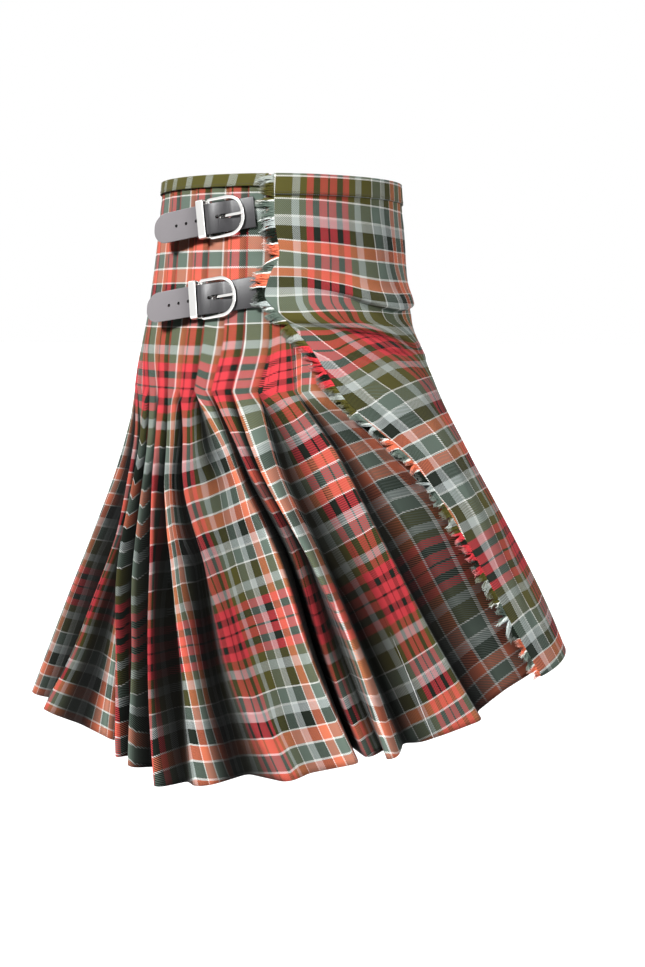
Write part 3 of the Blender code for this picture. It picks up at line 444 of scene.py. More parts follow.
# The cloth on the rails of the right side, at these parts of the way from the fell to the
# hem, in millimetres: U from the pleat's own pivot stripe, and V over an even hang.  A
# letter c, s or v after a pleat's name is its crest, slope or valley.
CLOTH_PARTS = (0.06, 0.14, 0.25, 0.37, 0.48, 0.63, 0.78, 0.89, 1.0)
CLOTH_ROWS = {
    "b1": ((6, 9, 10, 10, 10, 9, 8, 8, 8), (8, 6, 4, 11, 12, 16, 17, 8, 8)),
    "b1c": ((15, 16, 14, 14, 14, 14, 12, 10, 9), (10, 13, 13, 15, 13, 16, 17, 8, 8)),
    "b1s": ((16, 17, 15, 16, 16, 18, 20, 19, 20), (6, 6, 6, 6, 6, 6, 6, 6, 6)),
    "b1v": ((17, 18, 17, 20, 22, 25, 28, 31, 33), (9, 13, 15, 17, 17, 17, 15, 10, 4)),
    "a2": ((-7, -7, -6, -5, -5, -4, -3, -3, -3), (8, 11, 14, 16, 15, 18, 17, 3, 3)),
    "a2c": ((4, 0, -2, -2, -1, -1, -1, -1, -1), (8, 11, 15, 20, 18, 17, 17, 7, 7)),
    "a2s": ((9, 7, 6, 7, 8, 9, 9, 8, 7), (6, 6, 7, 7, 7, 8, 8, 9, 9)),
    "a2v": ((14, 15, 17, 18, 18, 20, 23, 26, 30), (7, 10, 14, 20, 23, 22, 20, 13, 0)),
    "b2": ((0, 2, 2, 2, 0, -2, 2, 7, 9), (9, 10, 12, 17, 21, 22, 23, 16, 16)),
    "b2c": ((9, 10, 8, 13, 20, 24, 21, 18, 14), (9, 9, 11, 17, 19, 21, 22, 13, 13)),
    "b2s": ((13, 13, 16, 25, 39, 50, 43, 38, 30), (9, 11, 14, 17, 20, 21, 20, 11, 11)),
    "b2v": ((15, 15, 19, 26, 40, 51, 48, 49, 44), (19, 19, 19, 19, 19, 20, 20, 10, 10)),
    "a3": ((-2, -4, -9, -19, -23, -25, -31, -38, -44), (9, 8, 10, 15, 15, 14, 13, 3, 3)),
    "a3c": ((17, 15, 10, 16, 18, 0, -10, -14, -20), (7, 9, 9, 12, 12, 13, 14, 6, 6)),
    "a3s": ((38, 55, 72, 75, 41, 40, 37, 23, 12), (6, 8, 11, 14, 13, 15, 16, 9, 9)),
    "a3v": ((40, 76, 116, 115, 111, 90, 78, 71, 78), (11, 11, 11, 13, 11, 14, 15, 9, 9)),
    "b3": ((3, 2, 1, 0, -4, -16, -14, -3, 3), (5, 6, 10, 12, 9, 10, 7, 2, 2)),
    "b3c": ((11, 14, 17, 16, 10, 0, 3, 9, 12), (5, 6, 7, 8, 5, 7, 8, 3, 3)),
    "b3s": ((43, 51, 38, 38, 34, 30, 33, 45, 42), (2, 2, 4, 5, 2, 3, 5, 0, 0)),
    "b3v": ((58, 72, 48, 57, 58, 55, 62, 67, 64), (1, -1, 0, 2, -2, 0, 3, 0, 0)),
    "a4": ((-13, -22, -15, 5, 12, 9, 6, 5, 4), (-3, -7, -10, -11, -14, -7, 2, -1, -1)),
    "a4c": ((-3, -2, 7, 20, 28, 30, 30, 27, 24), (-2, -10, -11, -11, -12, -7, -7, -7, -7)),
    "a4s": ((14, 19, 26, 33, 37, 42, 44, 45, 45), (-3, -11, -13, -10, -8, -3, -3, -3, -3)),
    "a4v": ((18, 22, 27, 34, 38, 47, 53, 57, 61), (-4, -5, -13, -11, -6, 0, 8, 9, 9)),
    "b4": ((-5, -6, -8, -7, -5, 0, 6, 8, 8), (-6, -7, -9, -8, -8, 0, 11, 11, 11)),
    "b4c": ((11, 8, 5, 6, 7, 11, 16, 18, 19), (-7, -7, -10, -9, -11, -1, 9, 8, 8)),
    "b4s": ((18, 17, 15, 16, 20, 27, 34, 40, 44), (-5, -7, -8, -10, -11, -3, 8, 8, 8)),
    "b4v": ((19, 20, 24, 27, 32, 40, 48, 53, 57), (-8, -8, -11, -14, -12, -6, 5, 6, 6)),
    "a5": ((-11, -12, -12, -10, -2, 8, 10, 8, 4), (-7, -7, -8, -11, -14, -7, 3, 3, 3)),
    "a5c": ((-3, -4, -3, 1, 7, 14, 15, 16, 17), (-11, -11, -10, -12, -14, -6, 4, 7, 7)),
    "a5s": ((7, 6, 9, 15, 19, 21, 22, 26, 33), (-14, -15, -13, -13, -12, -4, 7, 11, 11)),
    "a5v": ((40, 70, 82, 80, 78, 60, 55, 48, 46), (-6, -10, -7, -4, -3, 4, 14, 16, 16)),
    "start": ((-22, -23, -24, -26, -31, -38, -46, -52, -60),
              (-8, -14, -14, -13, -13, -5, 6, 8, 8)),
    "face": ((-6, -6, -7, -8, -10, -15, -17, -21, -22), (-16, -23, -23, -20, -19, -10, 1, 4, 4)),
    "edge": ((15, 13, 12, 12, 17, 26, 32, 32, 32), (-28, -31, -28, -26, -24, -13, -5, -4, -4)),
    "dip": ((-29, -29, -29, -29, -32, -33, -33, -34, -36),
            (-22, -25, -22, -20, -18, -9, 0, 2, 2)),
    "panel": ((-5, -4, -3, -3, -2, 0, 0, -2, -5), (-24, -28, -28, -29, -28, -15, -5, -2, -2)),
    "pipe": ((10, 10, 12, 12, 13, 14, 15, 16, 16), (-27, -31, -33, -32, -30, -19, -9, -6, -5))}
EVEN_RISE = (9, 10, 10, 9, 8, 7, 5, 3, 0)    # V over an even hang on every other rail
# Last rails under the apron: pivot stripe, then U from it and V over an even hang, at the
# fell, in millimetres.
UNDER_FELL = {"start": (1, -12, -6), "face": (1, -3, -15), "edge": (1, 17, -19),
              "dip": (2, -28, -20), "panel": (2, -6, -25), "pipe": (2, 7, -26)}
FELL_RISE = {"a4": 2, "a4v": -4, "b4": -2, "b4c": -4, "b4s": -5, "b4v": -6, "a5": -5, "a5c": -6,
             "a5s": -8, "a5v": -7}       # V over an even hang at the fell
USUAL_RISE = 6                           # the same on the other rails

# Shade painted into the cloth's colour on each rail, from 0 to 1, standing in for the shade
# deep in its fold, at these parts of the way from the fell to the hem; then the rules for the
# other rails and for the sewn part, where it is a painted shadow under each folded edge.
SHADE_PARTS = (0.06, 0.3, 0.5, 0.7, 0.9)
FOLD_SHADE = {
    "a2": (0, 0.1, 0.15, 0.15, 0.1), "a2c": (0.1, 0.4, 0.6, 0.6, 0.5), "a2s": (0.9, 1, 1, 1, 1),
    "b2": (0, 0, 0.1, 0.2, 0.1), "b2c": (0.15, 0.5, 0.85, 0.9, 0.6), "b2s": (0.7, 1, 1, 1, 0.8),
    "a3": (0, 0, 0, 0, 0), "a3c": (0.2, 0.35, 0.4, 0.3, 0.2), "a3s": (1, 1, 1, 1, 1),
    "b3": (0, 0.2, 0.3, 0.3, 0.2), "b3c": (0.15, 0.35, 0.42, 0.4, 0.25),
    "b3s": (0.6, 0.35, 0.35, 0.35, 0.28), "b3v": (1, 0.4, 0.35, 0.35, 0.35),
    "a4": (0, 0.05, 0.05, 0, 0), "a4c": (0.1, 0.4, 0.75, 0.75, 0.65), "a4s": (0.95, 1, 1, 1, 1),
    "b4": (0, 0.3, 0.4, 0.4, 0.3), "b4c": (0.15, 0.4, 0.5, 0.5, 0.35),
    "b4s": (0.8, 0.8, 0.8, 0.7, 0.5), "b4v": (1, 1, 0.9, 0.85, 0.75),
    "a5": (0, 0, 0, 0, 0), "a5c": (0, 0, 0.1, 0.15, 0.1), "a5s": (0.15, 0.25, 0.4, 0.45, 0.3),
    "start": (0.5, 0.5, 0.6, 0.65, 0.6), "face": (0.15, 0.2, 0.28, 0.33, 0.3),
    "edge": (0.15, 0.2, 0.28, 0.32, 0.28), "dip": (1, 1, 1, 1, 1),
    "panel": (0.35, 0.4, 0.45, 0.5, 0.45), "pipe": (0.4, 0.5, 0.55, 0.6, 0.5),
    "flat": (0.5, 0.6, 0.6, 0.6, 0.5)}
NO_SHADE = (0,) * 5
SHADE_RULE = {"c": (0.1, 0.35, 0.5, 0.5, 0.4), "s": (0.85, 0.95, 1, 1, 0.9), "v": (1, 1, 1, 1, 1)}
SEWN_SHADE = {"s": 0.35, "v": 1.0}
# How far the cloth has come out of its tuck, from 0 to 1, against the way down.
TUCK_OPENS = ((0.0, 0.3, 0.8, 1.0), (0.0, 0.35, 1.0, 1.0))

PARTS_DOWN = np.concatenate([np.zeros(len(SEWN_LEVELS)), LOOSE_PARTS])


def rail_column(index):
    """Column of a sheet that runs along the middle of a rail."""
    return index * (CORNER_COLUMNS + RUN_COLUMNS) + CORNER_COLUMNS // 2


def from_fell(parts, at_fell, row):
    """A table row's values at parts of the way down, starting from one at the fell."""
    return smooth(parts, (0.0,) + CLOTH_PARTS, (at_fell,) + row)


def edge_u(name, pivot):
    """U of a folded edge at each level."""
    high, fell, hem = EDGE_FROM_PIVOT.get(name, EDGE_FROM_PIVOT[name[0]])
    sewn = smooth(-SEWN_LEVELS, (0.0, EVEN_TO, -FELL_Z), (high, high, fell))
    loose = smooth(LOOSE_PARTS, (0.0, 0.5, 1.0), (fell, 0.5 * (fell + hem), hem))
    if name in CLOTH_ROWS:
        loose = from_fell(LOOSE_PARTS, fell, CLOTH_ROWS[name][0])
    return pivot * HALF_SETT + np.concatenate([sewn, loose]) / 1000


def every_rail():
    """All rails from the left hip round to the under apron's free edge, with their names,
    and for each its cloth coordinates and the shade painted into its colour for lying deep
    in a fold, at each level.

    Crest, slope and valley lie between their pleat's folded edge and the next one in
    proportion to the length run, except that just below the fell the cloth between the
    valley and the next edge is still the tuck's; the table rows then take their place."""
    rows = regular_folds() + list(FOLDS)
    rails = pleat_rails(rows, UNDER_FOLDS[0]) + under_rails()
    rails.insert(0, Rail([a - TUCK for a in rows[0][1:8]], TUCK_OUT[0], TUCK_OUT[1:],
                         TUCK_ROUND))
    count = len(rows) // 2
    line = np.stack([rail.points() for rail in rails], axis=1)
    gap = np.linalg.norm(np.diff(line, axis=1), axis=2)
    u, painted_shade = np.zeros(line.shape[:2]), np.zeros(line.shape[:2])
    rise = np.repeat(from_fell(PARTS_DOWN, USUAL_RISE, EVEN_RISE)[:, None], len(rails), axis=1)
    names = {1 + 4 * k + j: (rows[2 * k][0] + end, k + 1 - count)
             for k in range(count) for j, end in enumerate(("", "c", "s", "v"))}
    under = 1 + 4 * count

    def take_row(rail, name, pivot):
        """Put a table row's U on a rail, from the fell down."""
        at_fell = (u[-len(LOOSE_PARTS) - 1, rail] - pivot * HALF_SETT) * 1000
        u[-len(LOOSE_PARTS):, rail] = pivot * HALF_SETT + from_fell(
            LOOSE_PARTS, at_fell, CLOTH_ROWS[name][0]) / 1000

    for j, (name, (pivot, fell, fell_rise)) in enumerate(UNDER_FELL.items()):
        names[under + j] = (name, pivot)
        u[:, under + j] = pivot * HALF_SETT + fell / 1000
        rise[:, under + j] = fell_rise
    for rail in range(1, under, 4):
        u[:, rail] = edge_u(*names[rail])
    for rail, (name, pivot) in names.items():
        if name in CLOTH_ROWS:
            if rail >= under:
                take_row(rail, name, pivot)
            fell_rise = UNDER_FELL[name][2] if rail >= under else FELL_RISE.get(name, USUAL_RISE)
            rise[:, rail] = from_fell(PARTS_DOWN, fell_rise, CLOTH_ROWS[name][1])
    share = smooth(PARTS_DOWN, *TUCK_OPENS)
    for rail in range(1, under, 4):
        run = np.cumsum(gap[:, rail:rail + 4], axis=1)
        span = u[:, rail + 4] - u[:, rail]
        reach = (1 - share) * run[:, 2] + share * span * run[:, 2] / run[:, 3]
        for j in (1, 2, 3):
            u[:, rail + j] = u[:, rail] + reach * run[:, j - 1] / run[:, 2]
            name, pivot = names[rail + j]
            if name in CLOTH_ROWS:
                take_row(rail + j, name, pivot)
    u[:, 0] = u[:, 1] - gap[:, 0]
    for rail in range(under + len(UNDER_FELL), len(rails)):
        u[:, rail] = u[:, rail - 1] + gap[:, rail - 1]
        rise[:, rail] = rise[:, rail - 1]
    # Painted shade for the folds on each rail, eased by a smoothstep.
    for rail, (name, _) in names.items():
        usual = SHADE_RULE.get(name[-1], NO_SHADE) if rail < under else NO_SHADE
        depth = FOLD_SHADE.get(name, usual)
        painted_shade[:, rail] = smooth(PARTS_DOWN, (0.0,) + SHADE_PARTS + (1.0,),
                                 (SEWN_SHADE.get(name[-1], 0.0),) + depth + depth[-1:])
    painted_shade = painted_shade ** 2 * (3 - 2 * painted_shade)
    high = smooth(-SEWN_LEVELS, (0.0, EVEN_TO, -FELL_Z), (0.0, 0.0, 1.0))
    rise[:len(SEWN_LEVELS)] *= high[:, None]
    return rails, np.stack([u, cloth_heights()[:, None] + rise / 1000, painted_shade], -1)


def carry_across(points, values):
    """Values known on each rail spread over a sheet's columns by the length run between."""
    run = arc_along(points)
    marks = rail_column(np.arange(values.shape[1]))
    marks[0], marks[-1] = 0, points.shape[1] - 1
    k = np.searchsorted(marks, np.arange(points.shape[1]), side="right") - 1
    k = np.minimum(k, len(marks) - 2)
    first, last = run[:, marks[k]], run[:, marks[k + 1]]
    t = ((run - first) / np.maximum(last - first, 1e-9))[..., None]
    return values[:, k] * (1 - t) + values[:, k + 1] * t


# Soft troughs (minus) and ridges of the hanging cloth: angle and height of both ends,
# half width and height in millimetres.
PLEAT_CREASES = (
    (-176, -0.26, -170, -0.56, 11, -3.0), (-160, -0.34, -166, -0.57, 9, 2.4),
    (-150, -0.24, -146, -0.44, 8, -2.0), (-139, -0.30, -132, -0.57, 12, 3.2),
    (-124, -0.25, -128, -0.50, 8, -2.6), (-112, -0.38, -106, -0.57, 10, -2.8),
    (-99, -0.24, -101, -0.47, 9, 2.2), (-88, -0.33, -82, -0.57, 9, -2.6),
    (-74, -0.26, -70, -0.42, 7, 1.8), (-63, -0.40, -55, -0.57, 9, 2.4),
    (-52, -0.25, -44, -0.42, 7, -1.6), (-40, -0.43, -29, -0.57, 8, -2.2),
    (-36, -0.24, -33, -0.37, 6, 1.4), (-24, -0.35, -17, -0.56, 7, 2.0),
    (-26, -0.235, -21, -0.33, 5, -1.4), (-12, -0.30, 1, -0.50, 7, -1.8),
    (-4, -0.42, 7, -0.60, 8, 1.9), (-2, -0.245, 12, -0.36, 6, -1.4),
    (13, -0.38, 19, -0.59, 6, 1.3), (23, -0.29, 36, -0.47, 7, -1.5),
    (31, -0.34, 42, -0.55, 8, 1.6), (52, -0.40, 58, -0.55, 9, -1.6))
APRON_CREASES = (
    (13, -0.030, 21, -0.085, 6, -0.9), (22, -0.040, 31, -0.105, 7, 1.0),
    (38, -0.032, 45, -0.090, 6, -0.8), (56, -0.036, 60, -0.112, 8, 1.1),
    (78, -0.030, 74, -0.104, 7, -0.9), (97, -0.034, 104, -0.100, 8, 0.9),
    (121, -0.030, 115, -0.095, 6, -0.8), (146, -0.036, 152, -0.110, 7, 1.0),
    (37, -0.215, 62, -0.335, 9, -1.5), (47, -0.220, 76, -0.300, 7, 1.2),
    (66, -0.205, 72, -0.410, 12, 1.9), (80, -0.240, 75, -0.505, 10, -2.0),
    (90, -0.300, 96, -0.520, 13, 2.2), (104, -0.215, 101, -0.420, 10, -1.8),
    (113, -0.330, 118, -0.530, 12, 2.1), (124, -0.230, 129, -0.470, 10, -1.9),
    (138, -0.290, 134, -0.540, 11, 1.7), (149, -0.220, 155, -0.440, 9, -1.5),
    (160, -0.340, 163, -0.545, 10, 1.8), (30, -0.180, 52, -0.206, 6, -1.0),
    (88, -0.196, 112, -0.222, 7, -1.1))


def creased(points, creases, around=0.0):
    """Press the creases into a sheet: each is bell shaped across its line, and along it
    its height is 1 - (2t - 1)^4."""
    x, y, z = np.moveaxis(points, -1, 0)
    angle = np.degrees(np.unwrap(np.arctan2(-y, -x), axis=1)) + around
    radius = np.hypot(x, y)
    out = np.zeros_like(z)
    for top, top_z, foot, foot_z, half, high in creases:
        t = np.clip((top_z - z) / (top_z - foot_z), 0, 1)
        across = np.radians(angle - top - t * (foot - top)) * radius
        out += high / 1000 * np.exp(-(across * 1000 / half) ** 2) * (1 - (2 * t - 1) ** 4)
    moved = points.copy()
    moved[..., :2] *= (1 + out / radius)[..., None]
    return moved


def make_pleats(cloth):
    """The pleats as three sheets and the wrap under the apron as a fourth, which meet
    half way along their runs.  The first starts more than half a turn round the back, so
    a whole turn comes off its angles before it is creased."""
    rails, values = every_rail()
    left_end, back_end = (2 + 4 * number for number in SEAM_PLEATS)
    under = len(rails) - len(UNDER_FOLDS) - UNDER_FLAT_RAILS
    parts = (("cloth_left", 0, left_end + 2, "pleats_left", -360.0),
             ("cloth_back", left_end, back_end + 2, "pleats_back", 0.0),
             ("cloth_right", back_end, under + 2, "pleats_right", 0.0),
             ("cloth_under", under, len(rails), "under_apron", 0.0))
    made = []
    for name, start, stop, node, around in parts:
        last = stop == len(rails)
        points = section_through(rails[start:stop], start > 0, not last)
        own = values[:, start:stop].copy()
        if start > 0:
            own[:, 0] = 0.5 * (own[:, 0] + own[:, 1])
        if not last:
            own[:, -1] = 0.5 * (own[:, -1] + own[:, -2])
        own = carry_across(points, own)
        # The painted fold shade, spread across the sheet, is eased upwards.
        own[..., 2] = 1 - (1 - own[..., 2]) ** 2
        points = creased(points, PLEAT_CREASES, around)
        made.append((cloth_sheet(name, points, own[..., :2], cloth, painted_shade=own[..., 2]), node))
    return made


# ---------------------------------------------------------------- over apron
APRON_EDGE = np.array([
    # z       angle
    (0.010, 9.0), (-0.044, 9.1), (-0.083, 11.3), (-0.100, 8.0), (-0.124, 5.5),
    (-0.148, 13.4), (-0.176, 22.0), (-0.211, 28.4), (-0.232, 32.3), (-0.302, 50.5),
    (-0.353, 56.4), (-0.411, 59.6), (-0.467, 62.1), (-0.530, 65.8)])
APRON_LEFT = 172.0       # angle of its other edge, on the left hip
APRON_LEFT_HEM = 175.0   # and the same at the hem
APRON_LIFT = 0.0049      # how far its two edges lie over the pleats
LIFT_REACH = 34.0        # degrees over which the lift dies away
HIP_FOLD_Z = -0.140      # the fold over the hip joint, where the apron's cloth hangs over
HIP_FOLD_OUT = 0.0045
HIP_FOLD_REACH = 0.017   # how far up and down it dies away
APRON_ROWS = 190
APRON_COLUMNS = 210
# Rows lie closer together over the hip: share of the rows against the way down.
APRON_ROW_SHARE = (0.0, 0.16, 0.62, 1.0)
APRON_ROW_DOWN = (0.0, 0.20, 0.40, 1.0)


def apron_angle(z):
    """Angle of the apron's frayed edge at a height."""
    return smooth(-np.asarray(z, float), -APRON_EDGE[:, 0], APRON_EDGE[:, 1])


def apron_out(angle, z):
    """The apron lies over the pleats at both edges and bulges over the hip fold."""
    near_right = np.clip(1 - (angle - apron_angle(z)) / LIFT_REACH, 0, 1)
    near_left = np.clip(1 - (APRON_LEFT_HEM - angle) / LIFT_REACH, 0, 1)
    reach = np.maximum(near_right, near_left)
    lift = APRON_LIFT * reach ** 2 * (3 - 2 * reach)
    fold = HIP_FOLD_OUT * np.exp(-((z - HIP_FOLD_Z) / HIP_FOLD_REACH) ** 2)
    return lift + fold


def apron_grid(rows, columns):
    """Angles and heights of the over apron, from the frayed edge round to its left edge."""
    across = np.linspace(0.0, 1.0, columns)[None, :]
    down = np.interp(np.linspace(0.0, 1.0, rows), APRON_ROW_SHARE, APRON_ROW_DOWN)[:, None]
    low_angle = float(apron_angle(APRON_EDGE[-1, 0]))
    hem = hem_height(low_angle + across * (APRON_LEFT_HEM - low_angle))
    z = down * hem
    edge = apron_angle(z[:, :1])
    end = APRON_LEFT + (APRON_LEFT_HEM - APRON_LEFT) * down ** 2
    return edge + across * (end - edge), z


# Where the apron's warp stripes run: depth under the waist in millimetres, and the angle
# of each line in tenths of a degree.
WARP_U = (-0.1056, -0.0883, -0.0768, -0.0604, -0.0375, -0.0204, 0.0, 0.0204, 0.0375, 0.0604,
          0.0768, 0.1056)
WARP_LINES = np.array([
    (0, -104, -27, 24, 96, 189, 250, 338, 425, 493, 577, 638, 727),
    (37, -107, -32, 18, 89, 182, 243, 331, 418, 486, 570, 631, 720),
    (70, -92, -19, 30, 100, 187, 246, 334, 421, 493, 586, 646, 737),
    (95, -82, -9, 39, 108, 190, 248, 336, 423, 498, 598, 658, 750),
    (130, -77, -6, 42, 110, 197, 246, 333, 410, 493, 600, 685, 783),
    (142, -68, 3, 50, 117, 219, 274, 357, 432, 497, 602, 683, 780),
    (150, -31, 39, 85, 150, 247, 317, 382, 444, 511, 610, 690, 786),
    (160, 45, 135, 194, 227, 344, 403, 477, 550, 611, 694, 753, 879),
    (170, 45, 137, 197, 270, 389, 476, 549, 622, 684, 766, 840, 969),
    (180, 75, 168, 228, 314, 439, 533, 608, 683, 747, 854, 930, 1064),
    (190, 137, 230, 292, 361, 489, 596, 670, 743, 826, 937, 1016, 1157),
    (200, 177, 268, 328, 403, 539, 647, 721, 794, 876, 986, 1064, 1204),
    (215, 236, 323, 381, 477, 612, 726, 785, 882, 962, 1071, 1149, 1288),
    (230, 290, 374, 430, 549, 674, 775, 870, 965, 1045, 1152, 1230, 1368),
    (250, 369, 446, 498, 608, 738, 800, 890, 980, 1055, 1157, 1229, 1358),
    (270, 433, 505, 553, 654, 782, 853, 937, 1022, 1093, 1188, 1256, 1376),
    (300, 507, 570, 596, 699, 831, 894, 969, 1044, 1106, 1190, 1250, 1354),
    (330, 539, 594, 644, 743, 816, 871, 937, 1002, 1057, 1130, 1182, 1272),
    (360, 577, 621, 670, 766, 826, 871, 924, 978, 1023, 1082, 1125, 1199),
    (390, 578, 631, 671, 748, 806, 849, 900, 952, 995, 1053, 1094, 1165),
    (420, 583, 641, 667, 732, 787, 829, 879, 929, 971, 1026, 1066, 1135),
    (450, 602, 653, 680, 737, 791, 831, 879, 927, 968, 1022, 1060, 1127),
    (480, 619, 662, 696, 748, 800, 839, 885, 932, 971, 1023, 1060, 1124),
    (530, 646, 697, 714, 770, 819, 856, 900, 945, 982, 1031, 1066, 1126)])
WARP_LINES = WARP_LINES / ([1000] + [10] * len(WARP_U))

# Where its weft stripes run: V, and the depth at each of these angles, in tenths of a
# millimetre.
WEFT_ANGLES = (12, 20, 30, 40, 50, 60, 70, 80)
WEFT_LINES = np.array([
    (6303, -8, -8, -8, -8, -8, -8, -8, -8),
    (5995, 275, 280, 287, 300, 313, 323, 333, 343),
    (5830, 443, 447, 460, 473, 490, 503, 517, 523),
    (5550, 693, 710, 723, 740, 760, 773, 783, 790),
    (5399, 805, 827, 850, 873, 893, 907, 913, 917),
    (5221, 983, 987, 1007, 1040, 1083, 1110, 1117, 1117),
    (5070, 1067, 1073, 1110, 1150, 1207, 1237, 1247, 1240),
    (4790, 1290, 1277, 1267, 1283, 1320, 1345, 1370, 1375),
    (4625, 1445, 1443, 1433, 1430, 1433, 1440, 1453, 1453),
    (4396, 1600, 1565, 1560, 1557, 1577, 1617, 1647, 1657),
    (4264, 1656, 1625, 1620, 1583, 1607, 1657, 1723, 1767),
    (4030, 1872, 1844, 1840, 1755, 1694, 1685, 1725, 1780),
    (3796, 2139, 2114, 2110, 2020, 1933, 1880, 1907, 1893),
    (3664, 2266, 2243, 2240, 2160, 2055, 1990, 1987, 2013),
    (3435, 2506, 2485, 2482, 2410, 2283, 2220, 2173, 2150),
    (3253, 2676, 2657, 2655, 2590, 2465, 2385, 2340, 2322),
    (2983, 2897, 2880, 2878, 2820, 2707, 2640, 2593, 2570),
    (2832, 3011, 2996, 2994, 2941, 2840, 2765, 2720, 2697),
    (2668, 3169, 3155, 3153, 3106, 3015, 2947, 2900, 2880),
    (2517, 3311, 3299, 3298, 3255, 3173, 3080, 3030, 3015),
    (2245, 3515, 3504, 3502, 3464, 3390, 3320, 3263, 3250),
    (2065, 3682, 3672, 3671, 3636, 3570, 3480, 3428, 3410),
    (1836, 3887, 3878, 3877, 3846, 3786, 3705, 3647, 3632),
    (1704, 4024, 4016, 4015, 3987, 3933, 3860, 3780, 3763),
    (1470, 4252, 4245, 4244, 4219, 4171, 4105, 4033, 4020),
    (1236, 4490, 4483, 4482, 4460, 4416, 4357, 4293, 4280),
    (1104, 4602, 4597, 4596, 4575, 4536, 4483, 4413, 4400),
    (875, 4840, 4835, 4834, 4816, 4781, 4733, 4647, 4633),
    (693, 5010, 5005, 5004, 4988, 4956, 4913, 4827, 4800),
    (423, 5237, 5233, 5232, 5217, 5189, 5150, 5065, 5040),
    (305, 5331, 5327, 5327, 5314, 5288, 5253, 5180, 5133),
    (100, 5536, 5532, 5532, 5519, 5493, 5458, 5385, 5338)]) / 10000

CHART_RADIUS = 0.18      # radius by which the chart's angles beyond its lines become U
FRONT_ANGLE = 80.0       # beyond this angle the apron's stripes run on by their own length
# U at the apron's left edge against depth: its cut widens towards the hem.
LEFT_EDGE_U = ((0.0, 0.345), (0.15, 0.360), (0.30, 0.370), (0.42, 0.420), (0.55, 0.480))


# The lattice of angles and depths on which U and V are worked out.
CHART_ANGLES = np.linspace(2.0, 84.0, 165)
CHART_DEPTHS = np.linspace(-0.002, 0.550, 277)


def apron_chart(angles, depths):
    """U and V on a lattice of depths and angles, read between the apron's stripe lines:
    monotone cubics across the lines, which are monotone cubics along their own length."""
    warp = np.stack([smooth(depths, WARP_LINES[:, 0], WARP_LINES[:, k + 1])
                     for k in range(len(WARP_U))], -1)
    weft = np.stack([smooth(angles, WEFT_ANGLES, row[1:]) for row in WEFT_LINES], -1)
    u = np.stack([smooth(angles, row, WARP_U) for row in warp])
    beyond = (np.minimum(0, angles[None] - warp[:, :1])
              + np.maximum(0, angles[None] - warp[:, -1:]))
    u += np.radians(1.0) * CHART_RADIUS * beyond
    v = np.stack([smooth(depths, row, WEFT_LINES[:, 0]) for row in weft], 1)
    return u, v


def read_lattice(values, angle, depth):
    """Bilinear reading of the lattice."""
    i, j = (np.clip((at - marks[0]) / (marks[1] - marks[0]), 0, len(marks) - 1.001)
            for at, marks in ((depth, CHART_DEPTHS), (angle, CHART_ANGLES)))
    i0, j0 = i.astype(int), j.astype(int)
    i, j = i - i0, j - j0
    return ((values[i0, j0] * (1 - j) + values[i0, j0 + 1] * j) * (1 - i)
            + (values[i0 + 1, j0] * (1 - j) + values[i0 + 1, j0 + 1] * j) * i)


def apron_uv(angle, z, points):
    """Cloth coordinates of the over apron: read from its stripe lines on the right, and
    by the length round the front from there to the left edge."""
    charts = apron_chart(CHART_ANGLES, CHART_DEPTHS)
    hem_ratio = hem_height(FRONT_ANGLE) / hem_height(np.maximum(angle, FRONT_ANGLE))
    u = read_lattice(charts[0], np.minimum(angle, CHART_ANGLES[-1]), -z)
    v = read_lattice(charts[1], np.clip(angle, WEFT_ANGLES[0], FRONT_ANGLE), -z * hem_ratio)
    run = arc_along(points)
    rows = np.arange(len(run))
    turn = np.argmin(np.abs(angle - FRONT_ANGLE), axis=1)
    left_u = np.interp(-z[:, -1], *zip(*LEFT_EDGE_U))
    from_turn = run - run[rows, turn][:, None]
    stretch = (left_u - u[rows, turn]) / from_turn[:, -1]
    front = u[rows, turn][:, None] + stretch[:, None] * from_turn
    u = np.where(np.arange(run.shape[1]) > turn[:, None], front, u)
    return np.stack([u + HALF_SETT, v], -1)


# The hip fold's lip and the smaller folds under it: angle, depth and height out, in
# millimetres, along each; then the fold's own profile across it.
LIP_PROFILE = ((-0.045, 0), (-0.020, 0.50), (-0.007, 0.95), (-0.0025, 1.0), (0.0010, 0.25),
               (0.0035, -0.30), (0.008, -0.38), (0.016, -0.18), (0.030, 0))
APRON_LIPS = (
    ((24, 0.116, 0), (32, 0.119, 1.5), (40, 0.122, 3.6), (50, 0.129, 6.0), (60, 0.134, 7.0),
     (70, 0.137, 7.0), (80, 0.136, 6.5), (92, 0.133, 5.5), (108, 0.128, 4.0), (126, 0.130, 3.5),
     (142, 0.126, 2.0), (158, 0.122, 0)),
    ((14, 0.149, 0), (20, 0.151, 1.6), (30, 0.154, 2.6), (40, 0.157, 3.0), (50, 0.161, 3.2),
     (60, 0.164, 3.6), (70, 0.169, 3.8), (80, 0.178, 3.0), (94, 0.190, 1.5), (108, 0.200, 0)),
    ((46, 0.176, 0), (55, 0.179, 1.2), (65, 0.183, 1.6), (73, 0.179, 1.0), (82, 0.176, 0)),
    ((112, 0.160, 0), (122, 0.157, 2.2), (136, 0.152, 3.0), (148, 0.150, 2.0), (160, 0.146, 0)))


LIP_SINK = 0.45          # how far the cloth sinks at a lip, in the lip's heights
LIP_SINK_ABOVE = 0.0020  # the middle of that lies this far above the lip
LIP_SINK_REACH = 0.0045  # and it dies away over this


def apron_folds(angle, z):
    """Distance out and drop of the hanging folds: each lip is its profile across, times
    its height along; near the lip the cloth also sinks, so that it hangs over."""
    out = np.zeros_like(z)
    drop = np.zeros_like(z)
    for lip in APRON_LIPS:
        along, depth, high = np.array(lip).T
        across = -z - smooth(angle, along, depth)
        height = smooth(angle, along, high) / 1000
        out += height * smooth(across, *zip(*LIP_PROFILE))
        drop += LIP_SINK * height * np.exp(
            -((across + LIP_SINK_ABOVE) / LIP_SINK_REACH) ** 2)
    return out, drop


